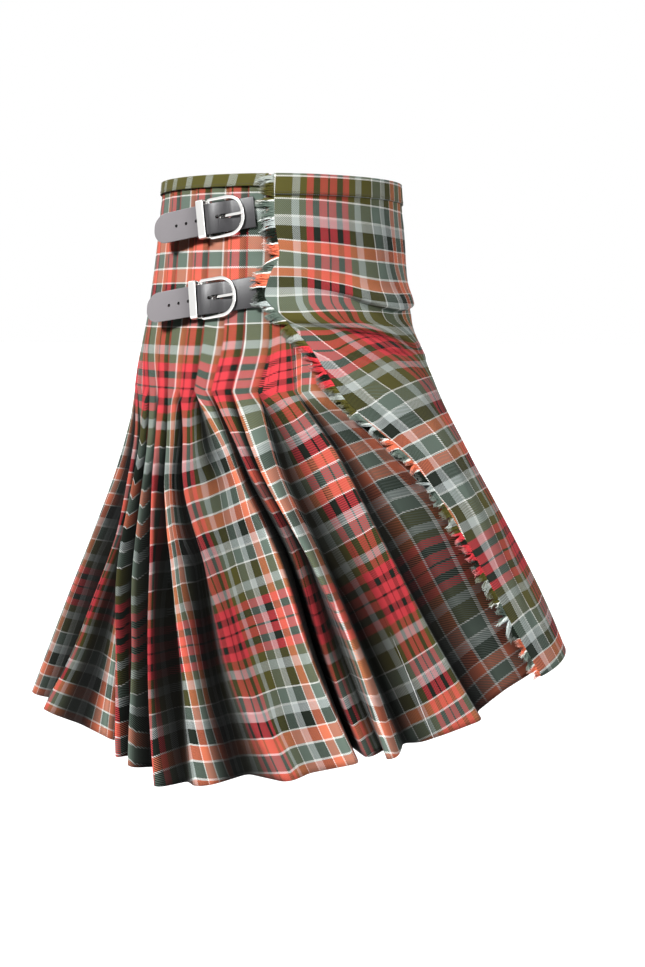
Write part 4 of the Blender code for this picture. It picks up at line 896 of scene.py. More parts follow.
def make_over_apron(cloth):
    """The over apron: its grid on the body form, moved out and down by its folds."""
    angle, z = apron_grid(APRON_ROWS, APRON_COLUMNS)
    out, drop = apron_folds(angle, z)
    points = body_point(angle, z - drop, apron_out(angle, z) + out)
    uv = apron_uv(angle, z, points)
    return cloth_sheet("cloth_apron", creased(points, APRON_CREASES), uv, cloth)


# ---------------------------------------------------------------- waistbands
BAND_HEIGHT_PLEATS = 0.012
BAND_HEIGHT_APRON = 0.021
BAND_WALL = 0.0012
BAND_TOP = 0.0008        # the band stands this far above the cloth
BAND_LIFT = 0.0016 / 2 + SEAM_GAP + BAND_WALL / 2
BAND_SLACK = 0.0004      # more room between a band and the cloth's corners
BAND_END = 6.6           # angle of the pleats' band where the over apron begins
BAND_PART = 0.3          # degrees between the two bands on the left hip
BAND_ROWS = 9
CHECK_HALF = 0.0146      # half a repeat of the squares along the pleats' band
LIGHT_STRIPE = 0.0374    # their light stripe's middle, from the red pivot
OLIVE_V = -HALF_SETT + PIVOT_V + 0.0500 + 0.006  # V at the pleats' band's top edge
APRON_BAND_V = 0.4680    # V at the apron band's top edge


def make_waistbands(cloth):
    """A strip round the top edge of the pleats, and a deeper one round the over apron.

    U turns back and forth along the first, each way in CHECK_HALF, so that it shows
    squares; along the second it is the apron's own."""
    angles = np.linspace(LEFT_HIP + BAND_PART, BAND_END, 260)[None, :]
    z = np.linspace(BAND_TOP, -BAND_HEIGHT_PLEATS, BAND_ROWS)[:, None]
    points = body_point(angles, z + 0 * angles, TOP_SQUASH * TOOTH + BAND_LIFT + BAND_SLACK)
    wave = np.abs((arc_along(points) / CHECK_HALF + 1.0) % 2.0 - 1.0) * CHECK_HALF
    uv = np.stack([wave - HALF_SETT + LIGHT_STRIPE, OLIVE_V + z + 0 * wave], -1)
    shallow = cloth_sheet("band_pleats", points, uv, cloth, BAND_WALL)
    angles = np.linspace(APRON_EDGE[0, 1], APRON_LEFT, 220)[None, :]
    z = np.linspace(BAND_TOP, -BAND_HEIGHT_APRON, BAND_ROWS)[:, None]
    out = apron_out(angles, z) + BAND_LIFT + BAND_SLACK / 2
    points = body_point(angles, z + 0 * angles, out)
    uv = apron_uv(angles + 0 * z, z + 0 * angles, points)
    uv[..., 1] = APRON_BAND_V + z
    deep = cloth_sheet("band_apron", points, uv, cloth, BAND_WALL)
    return shallow, deep


# ---------------------------------------------------------------- frayed edge
YARNS = 2300
EDGE_ROWS = 400          # points along the frayed edge
YARN_RINGS = 8           # sections along a yarn
YARN_SIDES = 4
YARN_RADIUS = 0.00042
FRINGE_LENGTH = 0.0205     # at the waist; a little shorter towards the hem
FRINGE_ENDS = (0.0010, 0.0015)       # the fringe stops this far short of the waist and the hem
FRINGE_SHORTER = ((0.10, 0.26), (1.0, 0.86))     # run along the edge, share of that length
TUFT = 0.0086            # width of one clump of yarns
TUFT_WANDER = ((0.35, 0.011), (0.2, 0.0037))     # how it varies: in clumps, over a length
# A yarn's share of that length: mean, spread over the clumps and within them, least, most.
YARN_LENGTHS = (0.90, 0.13, 0.08, 0.5, 1.12)
YARN_START = 0.0012      # how far inside the edge a yarn starts
YARN_REACH = 0.94        # how far out it reaches, in its lengths
DROOP = (0.16, 0.16)     # how far it droops, in its lengths: mean, spread over the clumps
DRAWN = 0.42             # how far it is drawn to its clump's middle line
WAVES = (0.0014, 0.0012)                         # its waves: along the edge, out of the cloth
STAND_OUT = (0.0010, 0.0018)                     # how far yarns and whole clumps stand out
YARN_THIN = 0.55         # share of its radius lost at its tip
YARN_V = 0.6295          # V at the top of the edge


def edge_path(where):
    """Points, and the directions away, down and out of the cloth, along the frayed edge."""
    angle, z = (values[:, :3] for values in apron_grid(EDGE_ROWS, APRON_COLUMNS))
    near = body_point(angle, z, apron_out(angle, z))
    edge, inner = near[:, 0], near[:, 2]
    run = arc_along(edge[None])[0]
    where = FRINGE_ENDS[0] + where * (run[-1] - sum(FRINGE_ENDS))
    point = read_along(where, run, edge)
    away = -unit(read_along(where, run, inner - edge))
    down = unit(read_along(where, run, np.gradient(edge, run, axis=0)))
    face = np.cross(away, down)
    face *= np.sign((face * point * (1, 1, 0)).sum(1))[:, None]
    return where, point, away, down, face


def make_fringe(yarn):
    """Loose weft yarns in clumps.

    With t the part of its length run, each yarn goes straight out from the edge by t, is
    drawn to its clump's middle line by t^1.5, droops by t^1.6, stands out of the cloth by
    t and with its clump by t^2, waves by sines of t, and thins by t^2."""
    draw = np.random.default_rng(5)
    where, point, away, down, face = edge_path(np.sort(draw.uniform(0, 1, YARNS)))
    tuft = where / TUFT
    for share, over in TUFT_WANDER:
        tuft = tuft + share * np.sin(where / over)
    number = np.floor(tuft).astype(int)
    sway = draw.normal(0, 1, (number.max() + 1, 4))[number]
    middle = (tuft - number - 0.5) * TUFT
    mean, by_clump, by_yarn, least, most = YARN_LENGTHS
    length = FRINGE_LENGTH * np.interp(where, *FRINGE_SHORTER) * np.clip(
        mean + by_clump * sway[:, 0] + by_yarn * draw.normal(0, 1, YARNS), least, most)
    t = np.linspace(0.0, 1.0, YARN_RINGS)[None, :, None]
    own = draw.normal(0, 1, (YARNS, 6, 1, 1))
    length, middle = length[:, None, None], middle[:, None, None]
    reach = away[:, None] * t * YARN_REACH * length
    droop = down[:, None] * (
        (DROOP[0] + DROOP[1] * sway[:, 1, None, None]) * t ** 1.6 * length
        - DRAWN * middle * t ** 1.5
        + WAVES[0] * own[:, 0] * np.sin(7 * t + 3 * own[:, 1]) * t)
    rise = face[:, None] * (
        STAND_OUT[0] * own[:, 2] * t + STAND_OUT[1] * sway[:, 2, None, None] * t ** 2
        + WAVES[1] * own[:, 3] * np.sin(8 * t + 4 * own[:, 4]) * t)
    centre = point[:, None] - away[:, None] * YARN_START + reach + droop + rise
    turn = 2 * np.pi * np.arange(YARN_SIDES) / YARN_SIDES
    radius = YARN_RADIUS * (1 - YARN_THIN * t[..., None] ** 2)
    ring = (face[:, None, None] * np.cos(turn)[:, None] + down[:, None, None]
            * np.sin(turn)[:, None]) * radius
    points = (centre[:, :, None] + ring).reshape(-1, 3)
    corner = np.arange(YARNS * YARN_RINGS * YARN_SIDES).reshape(YARNS, YARN_RINGS, YARN_SIDES)
    next_side = np.roll(corner, -1, axis=2)
    faces = np.stack([corner[:, :-1], next_side[:, :-1], next_side[:, 1:], corner[:, 1:]], -1)
    faces = np.concatenate([faces.reshape(-1, 4), corner[:, 0, ::-1], corner[:, -1]])
    v = np.repeat(YARN_V - where, YARN_RINGS * YARN_SIDES)
    u = np.tile(np.repeat(np.linspace(0, FRINGE_LENGTH, YARN_RINGS), YARN_SIDES), YARNS)
    uv = np.stack([u, v], -1)[faces].reshape(-1, 2)
    return new_mesh("frayed_edge", points, faces, yarn, uv)


# ---------------------------------------------------------------- leather and metal
STRAP_WIDTH = 0.032
STRAP_THICK = 0.0024
STRAP_CORNER = 0.0008
TIP_WIDTH = 0.12         # share of the strap's width left at the very tip
SHARP = 35               # degrees from which an edge of the strap is sharp
STRAP_LEAVE = -0.012     # past this run from the bar it leaves the body
STRAP_TILT = math.radians(7.2)       # rise towards the front
FASTENINGS = (
    # name, bar angle, bar height, hidden end from the bar, free end from the bar, mirrored
    ("upper", -18.6, -0.0455, 0.056, -0.074, False),
    ("lower", -20.2, -0.1290, 0.068, -0.074, False),
    ("left", -18.6, -0.0455, 0.056, -0.060, True))
HOLES = (-0.0405, -0.0272, -0.0138, 0.0115)
HOLE_DIAMETER = 0.0036
HOLE_SIDES = 12
HOLE_FROM_TIP = 0.015    # no hole is nearer to the strap's tip
PUNCH_REACH = (-0.004, 0.016)        # how far in and out the punch goes from the bar's plane
PRONG_SLOT = (0.0130, 0.0260, 0.0052)     # from, to, width
BUCKLE_LENGTH = 0.041
BUCKLE_HEIGHT = 0.043
BUCKLE_WIRE = 0.0038
BUCKLE_THICK = 0.0020
BUCKLE_CORNER = 0.0165
BUCKLE_HEEL = 0.0022     # radius of its small corners, at the bar
PRONG_WIDTH = 0.0028
PRONG_THICK = 0.0011
TAB_WIDTH = 0.027
TAB_SEWN = (-0.032, -0.020)          # where the tab lies sewn down, from the bar
HOOK = 0.0009            # thickness of what loops round the bar
BAR_BOTTOM = 0.0026      # height of the buckle's wire over the cloth under it
BAR_TOP = BAR_BOTTOM + BUCKLE_THICK
KEEPER = (-0.0100, -0.0015, 0.0405)       # from, to, height
KEEPER_THICK = 0.0018
KEEPER_ROOM = 0.0004     # between the strap and the keeper's roof
FLAT_AT = 0.016          # the buckle lies flat against the body here, from the bar
PLEAT_OUT = 0.0038       # the fastenings lie on this height of the pleats

# Height of the strap's middle over the pleats, against the run from the bar.
STRAP_RUNS = (-0.012, 0.0, 0.006, 0.012, 0.018, 0.024, 0.029, 0.036, 0.080)
STRAP_HIGHS = (0.0092, 0.0090, 0.0082, 0.0066, 0.0046, 0.0026, 0.0015, 0.0014, 0.0014)
# How grey its leather is, from 0 to 1, against the run from the bar: wear, with painted sheen for
# its soft shine towards the free end.
WEAR_AND_SHEEN_RUNS = (-0.074, -0.030, -0.006, 0.002)
WEAR_AND_SHEEN = (1.0, 0.86, 0.40, 0.0)


class Seat:
    """The place of one fastening: its bar's angle and height, and the flat buckle frame."""

    def __init__(self, angle, height, mirrored):
        """The buckle's plane touches the body form FLAT_AT ahead of the bar."""
        self.angle = angle
        self.height = height
        self.mirrored = mirrored
        middle = self.on_body(FLAT_AT, 0.0, 0.0)
        ahead = self.on_body(FLAT_AT + 0.004, 0.0, 0.0) - self.on_body(FLAT_AT - 0.004, 0.0, 0.0)
        upward = self.on_body(FLAT_AT, 0.0, 0.010) - self.on_body(FLAT_AT, 0.0, -0.010)
        self.ahead = ahead / np.linalg.norm(ahead)
        self.out = np.cross(upward, self.ahead)
        self.out /= np.linalg.norm(self.out)
        if self.out @ (middle * (1, 1, 0)) < 0:
            self.out = -self.out
        self.up = np.cross(self.ahead, self.out)
        if self.up[2] < 0:
            self.up = -self.up
        self.origin = middle - self.ahead * FLAT_AT

    def on_body(self, along, out, rise):
        """Points on the pleats: along the tilted strap from the bar, out, and across."""
        along, out, rise = np.broadcast_arrays(
            *(np.asarray(v, float) for v in (along, out, rise)))
        z = self.height + math.sin(STRAP_TILT) * along + math.cos(STRAP_TILT) * rise
        radius = float(half_axes(self.height)[0]) + PLEAT_OUT
        level = math.cos(STRAP_TILT) * along - math.sin(STRAP_TILT) * rise
        return body_point(self.angle + np.degrees(level / radius), z, PLEAT_OUT + out)

    def flat(self, along, out, rise):
        """Points in the flat buckle frame."""
        along, out, rise = (np.asarray(v, float)[..., None] for v in (along, out, rise))
        return self.origin + self.ahead * along + self.out * out + self.up * rise

    def place(self, points):
        """Mirror finished points to the left hip where asked."""
        return points * (-1, 1, 1) if self.mirrored else points


def round_box(width, height, corner, steps=4):
    """A rectangle with round corners, as points round its middle: each corner is a
    quarter circle in steps parts."""
    corner = min(corner, 0.499 * width, 0.499 * height)
    turn = np.radians(np.linspace(0, 90, steps + 1))
    quarters = []
    for k, (x, y) in enumerate(((1, 1), (-1, 1), (-1, -1), (1, -1))):
        at = turn + math.radians(90 * k)
        quarters.append(np.stack([x * (width / 2 - corner) + corner * np.cos(at),
                                  y * (height / 2 - corner) + corner * np.sin(at)], -1))
    return np.concatenate(quarters)


def carried(name, rings, material, closed, seat):
    """A closed solid through rings of points carried along a path: neighbouring rings
    are joined by quads, and an open run is shut by a face at each end."""
    count, sides = rings.shape[:2]
    corner = np.arange(count * sides).reshape(count, sides)
    ahead = np.roll(corner, -1, axis=0)
    here, there = (corner, ahead) if closed else (corner[:-1], ahead[:-1])
    faces = np.stack([here, np.roll(here, -1, axis=1), np.roll(there, -1, axis=1), there], -1)
    faces = faces.reshape(-1, 4).tolist()
    if not closed:
        faces += [corner[0, ::-1].tolist(), corner[-1].tolist()]
    mesh = bpy.data.meshes.new(name)
    mesh.from_pydata(seat.place(rings.reshape(-1, 3)).tolist(), [], faces)
    mesh.materials.append(material)
    mesh.shade_smooth()
    thing = in_scene(name, mesh)
    face_outwards(thing)
    return thing


def make_strap(seat, name, hidden_end, free_end, leather):
    """A flat strap: on the pleats at its hidden end, up over the bar, then straight off.

    Past the keeper it leaves the body along the tangent and ends in a rounded tip."""
    tip = free_end + STRAP_WIDTH / 2 * (1 - np.cos(np.radians(np.linspace(0, 90, 14))))
    free = np.linspace(free_end, STRAP_LEAVE, 30)
    along = np.concatenate([tip[:-1], free[free > tip[-1]],
                            np.linspace(STRAP_LEAVE + 0.001, hidden_end, 46)])
    part = np.clip((along - free_end) / (STRAP_WIDTH / 2), 0, 1)
    swell = np.sqrt(np.clip(1 - (1 - part) ** 2, 0, 1))
    half = STRAP_WIDTH / 2 * (TIP_WIDTH + (1 - TIP_WIDTH) * swell)
    profile = round_box(STRAP_WIDTH, STRAP_THICK, STRAP_CORNER)
    rise = profile[None, :, 0] * half[:, None] / (STRAP_WIDTH / 2)
    on = np.maximum(along, STRAP_LEAVE)[:, None]
    out = smooth(on, STRAP_RUNS, STRAP_HIGHS)
    middle = seat.on_body(on, out, rise)
    normal = unit(seat.on_body(on, out + 0.001, rise) - middle)
    tangent = unit(seat.on_body(STRAP_LEAVE, out, rise)
                   - seat.on_body(STRAP_LEAVE + 0.002, out, rise))
    rings = (middle + tangent * (on - along[:, None])[..., None]
             + normal * profile[None, :, 1, None])
    strap = carried(name, rings, leather, False, seat)
    punch(strap, seat)
    # Greyer towards the free end: wear and painted sheen.
    point_values(strap, "wear_and_sheen", smooth(along_strap(strap, seat), WEAR_AND_SHEEN_RUNS, WEAR_AND_SHEEN))
    return strap


def along_strap(strap, seat):
    """How far each point of a strap lies from the bar, straight along the buckle."""
    points = np.empty(3 * len(strap.data.vertices), np.float32)
    strap.data.vertices.foreach_get("co", points)
    return (seat.place(points.reshape(-1, 3)) - seat.origin) @ seat.ahead


def punch(strap, seat):
    """Cut the row of round holes and the prong's slot through a strap."""
    turn = 2 * np.pi * np.arange(HOLE_SIDES) / HOLE_SIDES
    wide = (PRONG_SLOT[1] - PRONG_SLOT[0] - PRONG_SLOT[2]) / 2
    reach = along_strap(strap, seat)
    shapes = [(hole, 0.0, HOLE_DIAMETER) for hole in HOLES if hole > reach.min() + HOLE_FROM_TIP]
    shapes.append(((PRONG_SLOT[0] + PRONG_SLOT[1]) / 2, wide, PRONG_SLOT[2]))
    points, faces = [], []
    for middle, stretch, width in shapes:
        x = middle + stretch * np.sign(np.round(np.cos(turn), 6)) + width / 2 * np.cos(turn)
        first = len(points)
        for out in PUNCH_REACH:
            points += seat.place(seat.flat(x, out + 0 * x, width / 2 * np.sin(turn))).tolist()
        ring = first + np.arange(HOLE_SIDES)
        after = np.roll(ring, -1)
        faces += np.stack([ring, after, after + HOLE_SIDES, ring + HOLE_SIDES], -1).tolist()
        faces += [ring[::-1].tolist(), (ring + HOLE_SIDES).tolist()]
    mesh = bpy.data.meshes.new("punch")
    mesh.from_pydata(points, [], faces)
    cutter = in_scene("punch", mesh)
    face_outwards(cutter)
    cut = strap.modifiers.new("holes", "BOOLEAN")
    cut.operation = "DIFFERENCE"
    cut.solver = "MANIFOLD"
    cut.object = cutter
    made = bpy.data.meshes.new_from_object(
        strap.evaluated_get(bpy.context.evaluated_depsgraph_get()))
    made.set_sharp_from_angle(angle=math.radians(SHARP))
    strap.modifiers.clear()
    strap.data = made
    bpy.data.objects.remove(cutter)


def d_path():
    """Middle line of the D: a straight bar, and a side with two large round corners."""
    high = BUCKLE_HEIGHT / 2 - BUCKLE_WIRE / 2
    long = BUCKLE_LENGTH - BUCKLE_WIRE / 2
    turn = np.radians(np.linspace(90, 0, 10))
    top = np.stack([long - BUCKLE_CORNER + BUCKLE_CORNER * np.cos(turn),
                    high - BUCKLE_CORNER + BUCKLE_CORNER * np.sin(turn)], -1)
    turn = np.radians(np.linspace(180, 90, 5))
    foot = np.stack([BUCKLE_HEEL + BUCKLE_HEEL * np.cos(turn),
                     high - BUCKLE_HEEL + BUCKLE_HEEL * np.sin(turn)], -1)
    half = np.concatenate([[(0.0, 0.3 * high)], foot, top])
    return np.concatenate([half, half[::-1] * (1, -1)])


def out_of(path):
    """The direction out of a closed path in a plane, at each of its points."""
    ahead = unit(np.roll(path, -1, axis=0) - np.roll(path, 1, axis=0))
    return np.stack([ahead[:, 1], -ahead[:, 0]], -1)


def make_buckle(seat, name, metal):
    """A D-shaped frame of round wire, and a flat keeper loop round the strap."""
    path = d_path()
    side = out_of(path)
    turn = 2 * np.pi * np.arange(16) / 16
    across, height = BUCKLE_WIRE / 2 * np.cos(turn), BUCKLE_THICK / 2 * np.sin(turn)
    middle = BAR_BOTTOM + BUCKLE_THICK / 2
    frame_rings = seat.flat(path[:, None, 0] + side[:, None, 0] * across,
                            middle + height + 0 * path[:, None, 0],
                            path[:, None, 1] + side[:, None, 1] * across)
    wire = carried(name, frame_rings, metal, True, seat)
    start, stop, tall = KEEPER
    strap_top = float(smooth(-0.008, STRAP_RUNS, STRAP_HIGHS)) + STRAP_THICK / 2
    top = strap_top + KEEPER_ROOM + 0.0020
    loop = round_box(tall - KEEPER_THICK, top - BAR_BOTTOM - KEEPER_THICK, 0.0022, 6)
    centre = (top + BAR_BOTTOM) / 2
    normal = out_of(loop)
    flat = round_box(stop - start, KEEPER_THICK, 0.0007)
    keeper_rings = seat.flat((start + stop) / 2 + flat[None, :, 0] + 0 * loop[:, :1],
                             centre + loop[:, None, 1] + normal[:, None, 1] * flat[None, :, 1],
                             loop[:, None, 0] + normal[:, None, 0] * flat[None, :, 1])
    keeper = carried(name + "_keeper", keeper_rings, metal, True, seat)
    return wire, keeper


def strip_rings(seat, path, width, thick, corner):
    """Rings of a flat strip carried along a path in the (along, out) plane."""
    path = np.asarray(path, float)
    ahead = unit(np.gradient(path, axis=0))
    normal = np.stack([-ahead[:, 1], ahead[:, 0]], -1)
    box = round_box(width, thick, corner)
    return seat.flat(path[:, None, 0] + normal[:, None, 0] * box[None, :, 1],
                     path[:, None, 1] + normal[:, None, 1] * box[None, :, 1],
                     box[None, :, 0] + 0 * path[:, :1])


def round_bar(first, last, count, ahead=0.0):
    """A hook's middle line in the (along, out) plane, from angle to angle round the bar:
    an ellipse just clear of its wire."""
    turn = np.radians(np.linspace(first, last, count))
    clear = SEAM_GAP + HOOK / 2
    return np.stack([ahead + (BUCKLE_WIRE / 2 + clear) * np.cos(turn),
                     (BAR_BOTTOM + BAR_TOP) / 2 + (BUCKLE_THICK / 2 + clear) * np.sin(turn)],
                    -1)


def make_prong(seat, name, metal):
    """The tongue: a hook round the bar, an arm under the strap and a tip on the rim."""
    low, high = BAR_BOTTOM, BAR_TOP
    hook = round_bar(-60, -285, 12)
    rim = high + SEAM_GAP + 0.0006
    arm_x = (0.0040, 0.0080, 0.0150, 0.0185, 0.0225, 0.0300, 0.0360, BUCKLE_LENGTH)
    arm_y = (high + 0.0002, low + 0.0009, low + 0.0005, low + 0.0014, rim + 0.0002, rim + 0.0001,
             rim, rim)
    x = np.linspace(arm_x[0], arm_x[-1], 26)
    arm = np.stack([x, smooth(x, arm_x, arm_y)], -1)
    rings = strip_rings(seat, np.concatenate([hook, arm]), PRONG_WIDTH, PRONG_THICK, 0.0005)
    return carried(name, rings, metal, False, seat)


def make_tab(seat, name, leather):
    """The leather tab that holds the buckle: sewn to the pleats, looped round the bar."""
    bend = 2 * (float(half_axes(seat.height)[0]) + PLEAT_OUT)
    tail = [(u, SEAM_GAP + HOOK / 2 - (u - FLAT_AT) ** 2 / bend)
            for u in np.linspace(*TAB_SEWN, 5)]
    path = np.concatenate([tail, [(-0.010, 0.0010), (-0.005, 0.0017)],
                           round_bar(-90, 85, 9, 0.0006)])
    return carried(name, strip_rings(seat, path, TAB_WIDTH, HOOK, 0.0004), leather, False, seat)


def make_fastenings(leather, metal, thread):
    """Each fastening's strap, buckle, keeper, prong, tab and stitches."""
    for name, angle, height, hidden_end, free_end, mirrored in FASTENINGS:
        seat = Seat(angle, height, mirrored)
        strap = make_strap(seat, "leather_strap_" + name, hidden_end, free_end, leather)
        wire, keeper = make_buckle(seat, "wire_buckle_" + name, metal)
        finish_piece(strap, "black_leather", "strap_" + name)
        finish_piece(wire, "polished_metal", "buckle_" + name)
        finish_piece(keeper, "polished_metal")
        prong = make_prong(seat, "wire_prong_" + name, metal)
        finish_piece(prong, "polished_metal", "prong_" + name)
        tab = make_tab(seat, "leather_tab_" + name, leather)
        finish_piece(tab, "black_leather", "tab_" + name)
        finish_piece(tab_stitches(seat, "stitches_tab_" + name, thread), "black_leather")


# ---------------------------------------------------------------- materials
def set_value(tree, socket, value):
    """Link a socket to another socket, or give it a plain value."""
    if isinstance(value, bpy.types.NodeSocket):
        tree.links.new(value, socket)
    else:
        socket.default_value = value


def new_material(name, values):
    """A material with plain values on its shader; its node tree and its shader."""
    made = bpy.data.materials.new(name)
    made.use_nodes = True
    shader = made.node_tree.nodes["Principled BSDF"]
    for socket, value in values.items():
        shader.inputs[socket].default_value = value
    return made, made.node_tree, shader


def maths(tree, operation, *values, clamp=False):
    """A Math node; a value is a number or a socket."""
    node = tree.nodes.new("ShaderNodeMath")
    node.operation = operation
    node.use_clamp = clamp
    for socket, value in zip(node.inputs, values):
        set_value(tree, socket, value)
    return node.outputs[0]


def mixed(tree, factor, first, second, blend="MIX"):
    """Two colours mixed by a factor; each of the three is a value or a socket."""
    node = tree.nodes.new("ShaderNodeMix")
    node.data_type = "RGBA"
    node.blend_type = blend
    set_value(tree, node.inputs["Factor"], factor)
    set_value(tree, node.inputs[6], first)
    set_value(tree, node.inputs[7], second)
    return node.outputs[2]


def multiplied(tree, colour, shade):
    """A colour multiplied by a number."""
    return mixed(tree, 1.0, colour, shade, "MULTIPLY")


def cloth_place(tree):
    """The cloth coordinates of a point."""
    place = tree.nodes.new("ShaderNodeUVMap")
    place.uv_map = "cloth"
    return place.outputs[0]


def point_number(tree, name):
    """The named number that a mesh's points carry."""
    node = tree.nodes.new("ShaderNodeAttribute")
    node.attribute_name = name
    return node.outputs["Fac"]


def new_group(name, inputs, outputs):
    """A node group; its tree, and the sockets it is given and has to fill."""
    tree = bpy.data.node_groups.new(name, "ShaderNodeTree")
    for way, sockets in (("INPUT", inputs), ("OUTPUT", outputs)):
        for socket, kind in sockets.items():
            tree.interface.new_socket(socket, in_out=way, socket_type="NodeSocket" + kind)
    given, filled = (tree.nodes.new("NodeGroup" + end) for end in ("Input", "Output"))
    return tree, given.outputs, filled.inputs


PAINTED_FOLD_SHADE = 0.975      # how much the painted shade darkens the cloth deep in a fold

# Stripes from the red pivot to the sage pivot: where each ends, in metres, and its yarn.
YARN_COLOURS = {
    "black": (0.008, 0.007, 0.008), "red": (0.62, 0.050, 0.062), "green": (0.012, 0.017, 0.012),
    "olive": (0.088, 0.080, 0.020), "light": (0.37, 0.40, 0.37), "white": (0.84, 0.84, 0.80),
    "sage": (0.120, 0.158, 0.130), "ice": (0.66, 0.69, 0.66), "grey": (0.42, 0.46, 0.45),
    "orange": (0.68, 0.180, 0.095)}
SETT = ((0.0008, "black"), (0.0091, "red"), (0.0165, "green"), (0.0243, "red"), (0.0332, "olive"),
        (0.0418, "light"), (0.0596, "olive"), (0.0612, "white"), (0.0769, "sage"),
        (0.0794, "ice"), (0.0884, "grey"), (0.1040, "green"), (0.1056, "white"),
        (0.1192, "orange"), (0.1208, "white"), (0.1288, "sage"))


def sett_group():
    """Colour of a yarn by its place in the sett.

    Input: the distance from a red pivot stripe.  The place turns back at both pivots."""
    tree, given, filled = new_group("sett stripes", {"Position": "Float"}, {"Colour": "Color"})
    place = maths(tree, "PINGPONG", given["Position"], HALF_SETT)
    ramp = tree.nodes.new("ShaderNodeValToRGB")
    ramp.color_ramp.interpolation = "CONSTANT"
    marks = ramp.color_ramp.elements
    start = 0.0
    for k, (stop, name) in enumerate(SETT):
        mark = marks[k] if k < 2 else marks.new(start / HALF_SETT)
        mark.position = start / HALF_SETT
        mark.color = (*YARN_COLOURS[name], 1.0)
        start = stop
    tree.links.new(maths(tree, "DIVIDE", place, HALF_SETT), ramp.inputs[0])
    tree.links.new(ramp.outputs[0], filled["Colour"])
    return tree


def grain_group():
    """Fine unevenness from 0 to 1.  Inputs: the place on the piece, and lumps a metre."""
    tree, given, filled = new_group("fine grain", {"Place": "Vector", "Scale": "Float"},
                                    {"Grain": "Float"})
    lumps = tree.nodes.new("ShaderNodeTexNoise")
    lumps.inputs["Detail"].default_value = 3.0
    tree.links.new(given["Place"], lumps.inputs["Vector"])
    tree.links.new(given["Scale"], lumps.inputs["Scale"])
    tree.links.new(lumps.outputs["Fac"], filled["Grain"])
    return tree


def placed(tree, group):
    """A group's node in a material or in another group."""
    node = tree.nodes.new("ShaderNodeGroup")
    node.node_tree = group
    return node


def stripes(tree, position):
    """Colour of the yarn at a distance from a red pivot stripe."""
    node = placed(tree, bpy.data.node_groups["sett stripes"])
    tree.links.new(position, node.inputs["Position"])
    return node.outputs["Colour"]


def grain(tree, scale):
    """Grain over a piece's own place, in lumps of 1 / scale metres."""
    place = tree.nodes.new("ShaderNodeTexCoord")
    node = placed(tree, bpy.data.node_groups["fine grain"])
    tree.links.new(place.outputs["Object"], node.inputs["Place"])
    node.inputs["Scale"].default_value = scale
    return node.outputs["Grain"]


TWILL = 0.0022           # one twill rib, along the warp
YARN_PITCH = 0.00055     # from one yarn to the next
WARP_OVER = (1.3, 0.40)  # share of warp on top of the weft: times the rib's sine, plus
YARN_SHADE = (0.10, 0.94)               # painted shade between yarns: a yarn's brightness, times its own sine, plus
YARN_HEIGHT = 0.4        # a yarn's height against its rib's


def tartan_group():
    """Tartan cloth in a two-over-two twill.

    Inputs: the cloth coordinates.  Outputs: its colour, and its height.
    The rib coordinate is (U + V) / TWILL.  The share of warp on top is the sine of the
    rib by WARP_OVER, from 0 to 1, and what is left is weft.  Each yarn is a finer sine
    along U or V, which darkens its edges by YARN_SHADE: painted shade between the yarns."""
    tree, given, filled = new_group("tartan twill", {"Cloth": "Vector"},
                                    {"Colour": "Color", "Height": "Float"})
    split = tree.nodes.new("ShaderNodeSeparateXYZ")
    tree.links.new(given["Cloth"], split.inputs[0])
    u, v = split.outputs[0], split.outputs[1]
    warp = stripes(tree, maths(tree, "ADD", u, HALF_SETT))
    weft = stripes(tree, maths(tree, "ADD", v, HALF_SETT - PIVOT_V))

    def wave(place, pitch):
        """A sine along a coordinate, once a pitch."""
        return maths(tree, "SINE", maths(tree, "MULTIPLY", place, 2 * math.pi / pitch))

    rib = wave(maths(tree, "ADD", u, v), TWILL)
    over = maths(tree, "MULTIPLY_ADD", rib, *WARP_OVER, clamp=True)
    under = maths(tree, "SUBTRACT", 1.0, over)
    yarn = maths(tree, "ADD", maths(tree, "MULTIPLY", over, wave(u, YARN_PITCH)),
                 maths(tree, "MULTIPLY", under, wave(v, YARN_PITCH)))
    colour = multiplied(tree, mixed(tree, over, weft, warp),
                        maths(tree, "MULTIPLY_ADD", yarn, *YARN_SHADE))
    height = maths(tree, "MULTIPLY_ADD", yarn, YARN_HEIGHT, maths(tree, "ABSOLUTE", rib))
    tree.links.new(colour, filled["Colour"])
    tree.links.new(height, filled["Height"])
    return tree


def cloth_material(name, weave):
    """Wool cloth of a weave, with shade painted into its colour by PAINTED_FOLD_SHADE where its
    points lie deep in a fold.
    """
    made, tree, shader = new_material(name, {
        "Roughness": 0.88, "Specular IOR Level": 0.06, "Sheen Weight": 0.05})
    group = placed(tree, weave)
    tree.links.new(cloth_place(tree), group.inputs["Cloth"])
    # Painted shade: the colour darkens where the points lie deep in a fold.
    shade = maths(tree, "MULTIPLY_ADD", point_number(tree, "painted_shade"), -PAINTED_FOLD_SHADE, 1.0)
    shaded = multiplied(tree, group.outputs["Colour"], shade)
    tree.links.new(shaded, shader.inputs["Base Color"])
    bump_from(tree, shader, group.outputs["Height"], 0.35, 0.0003)
    return made


def bump_from(tree, shader, height, strength, distance):
    """Roughen a material's surface by a height of about 1, at a distance in metres."""
    bump = tree.nodes.new("ShaderNodeBump")
    bump.inputs["Strength"].default_value = strength
    bump.inputs["Distance"].default_value = distance
    tree.links.new(height, bump.inputs["Height"])
    tree.links.new(bump.outputs[0], shader.inputs["Normal"])


ROOT_PAINTED_SHADE = (1.0 / 0.0030, 0.25)      # painted shade on a loose yarn near the cloth, where yarns crowd: by metres from the cloth, plus
PALE_FROM = 0.0130                    # where it begins to pale, in metres from the cloth
PALE_RUN = 0.0100                     # metres over which it does
PALE_MOST = 0.6


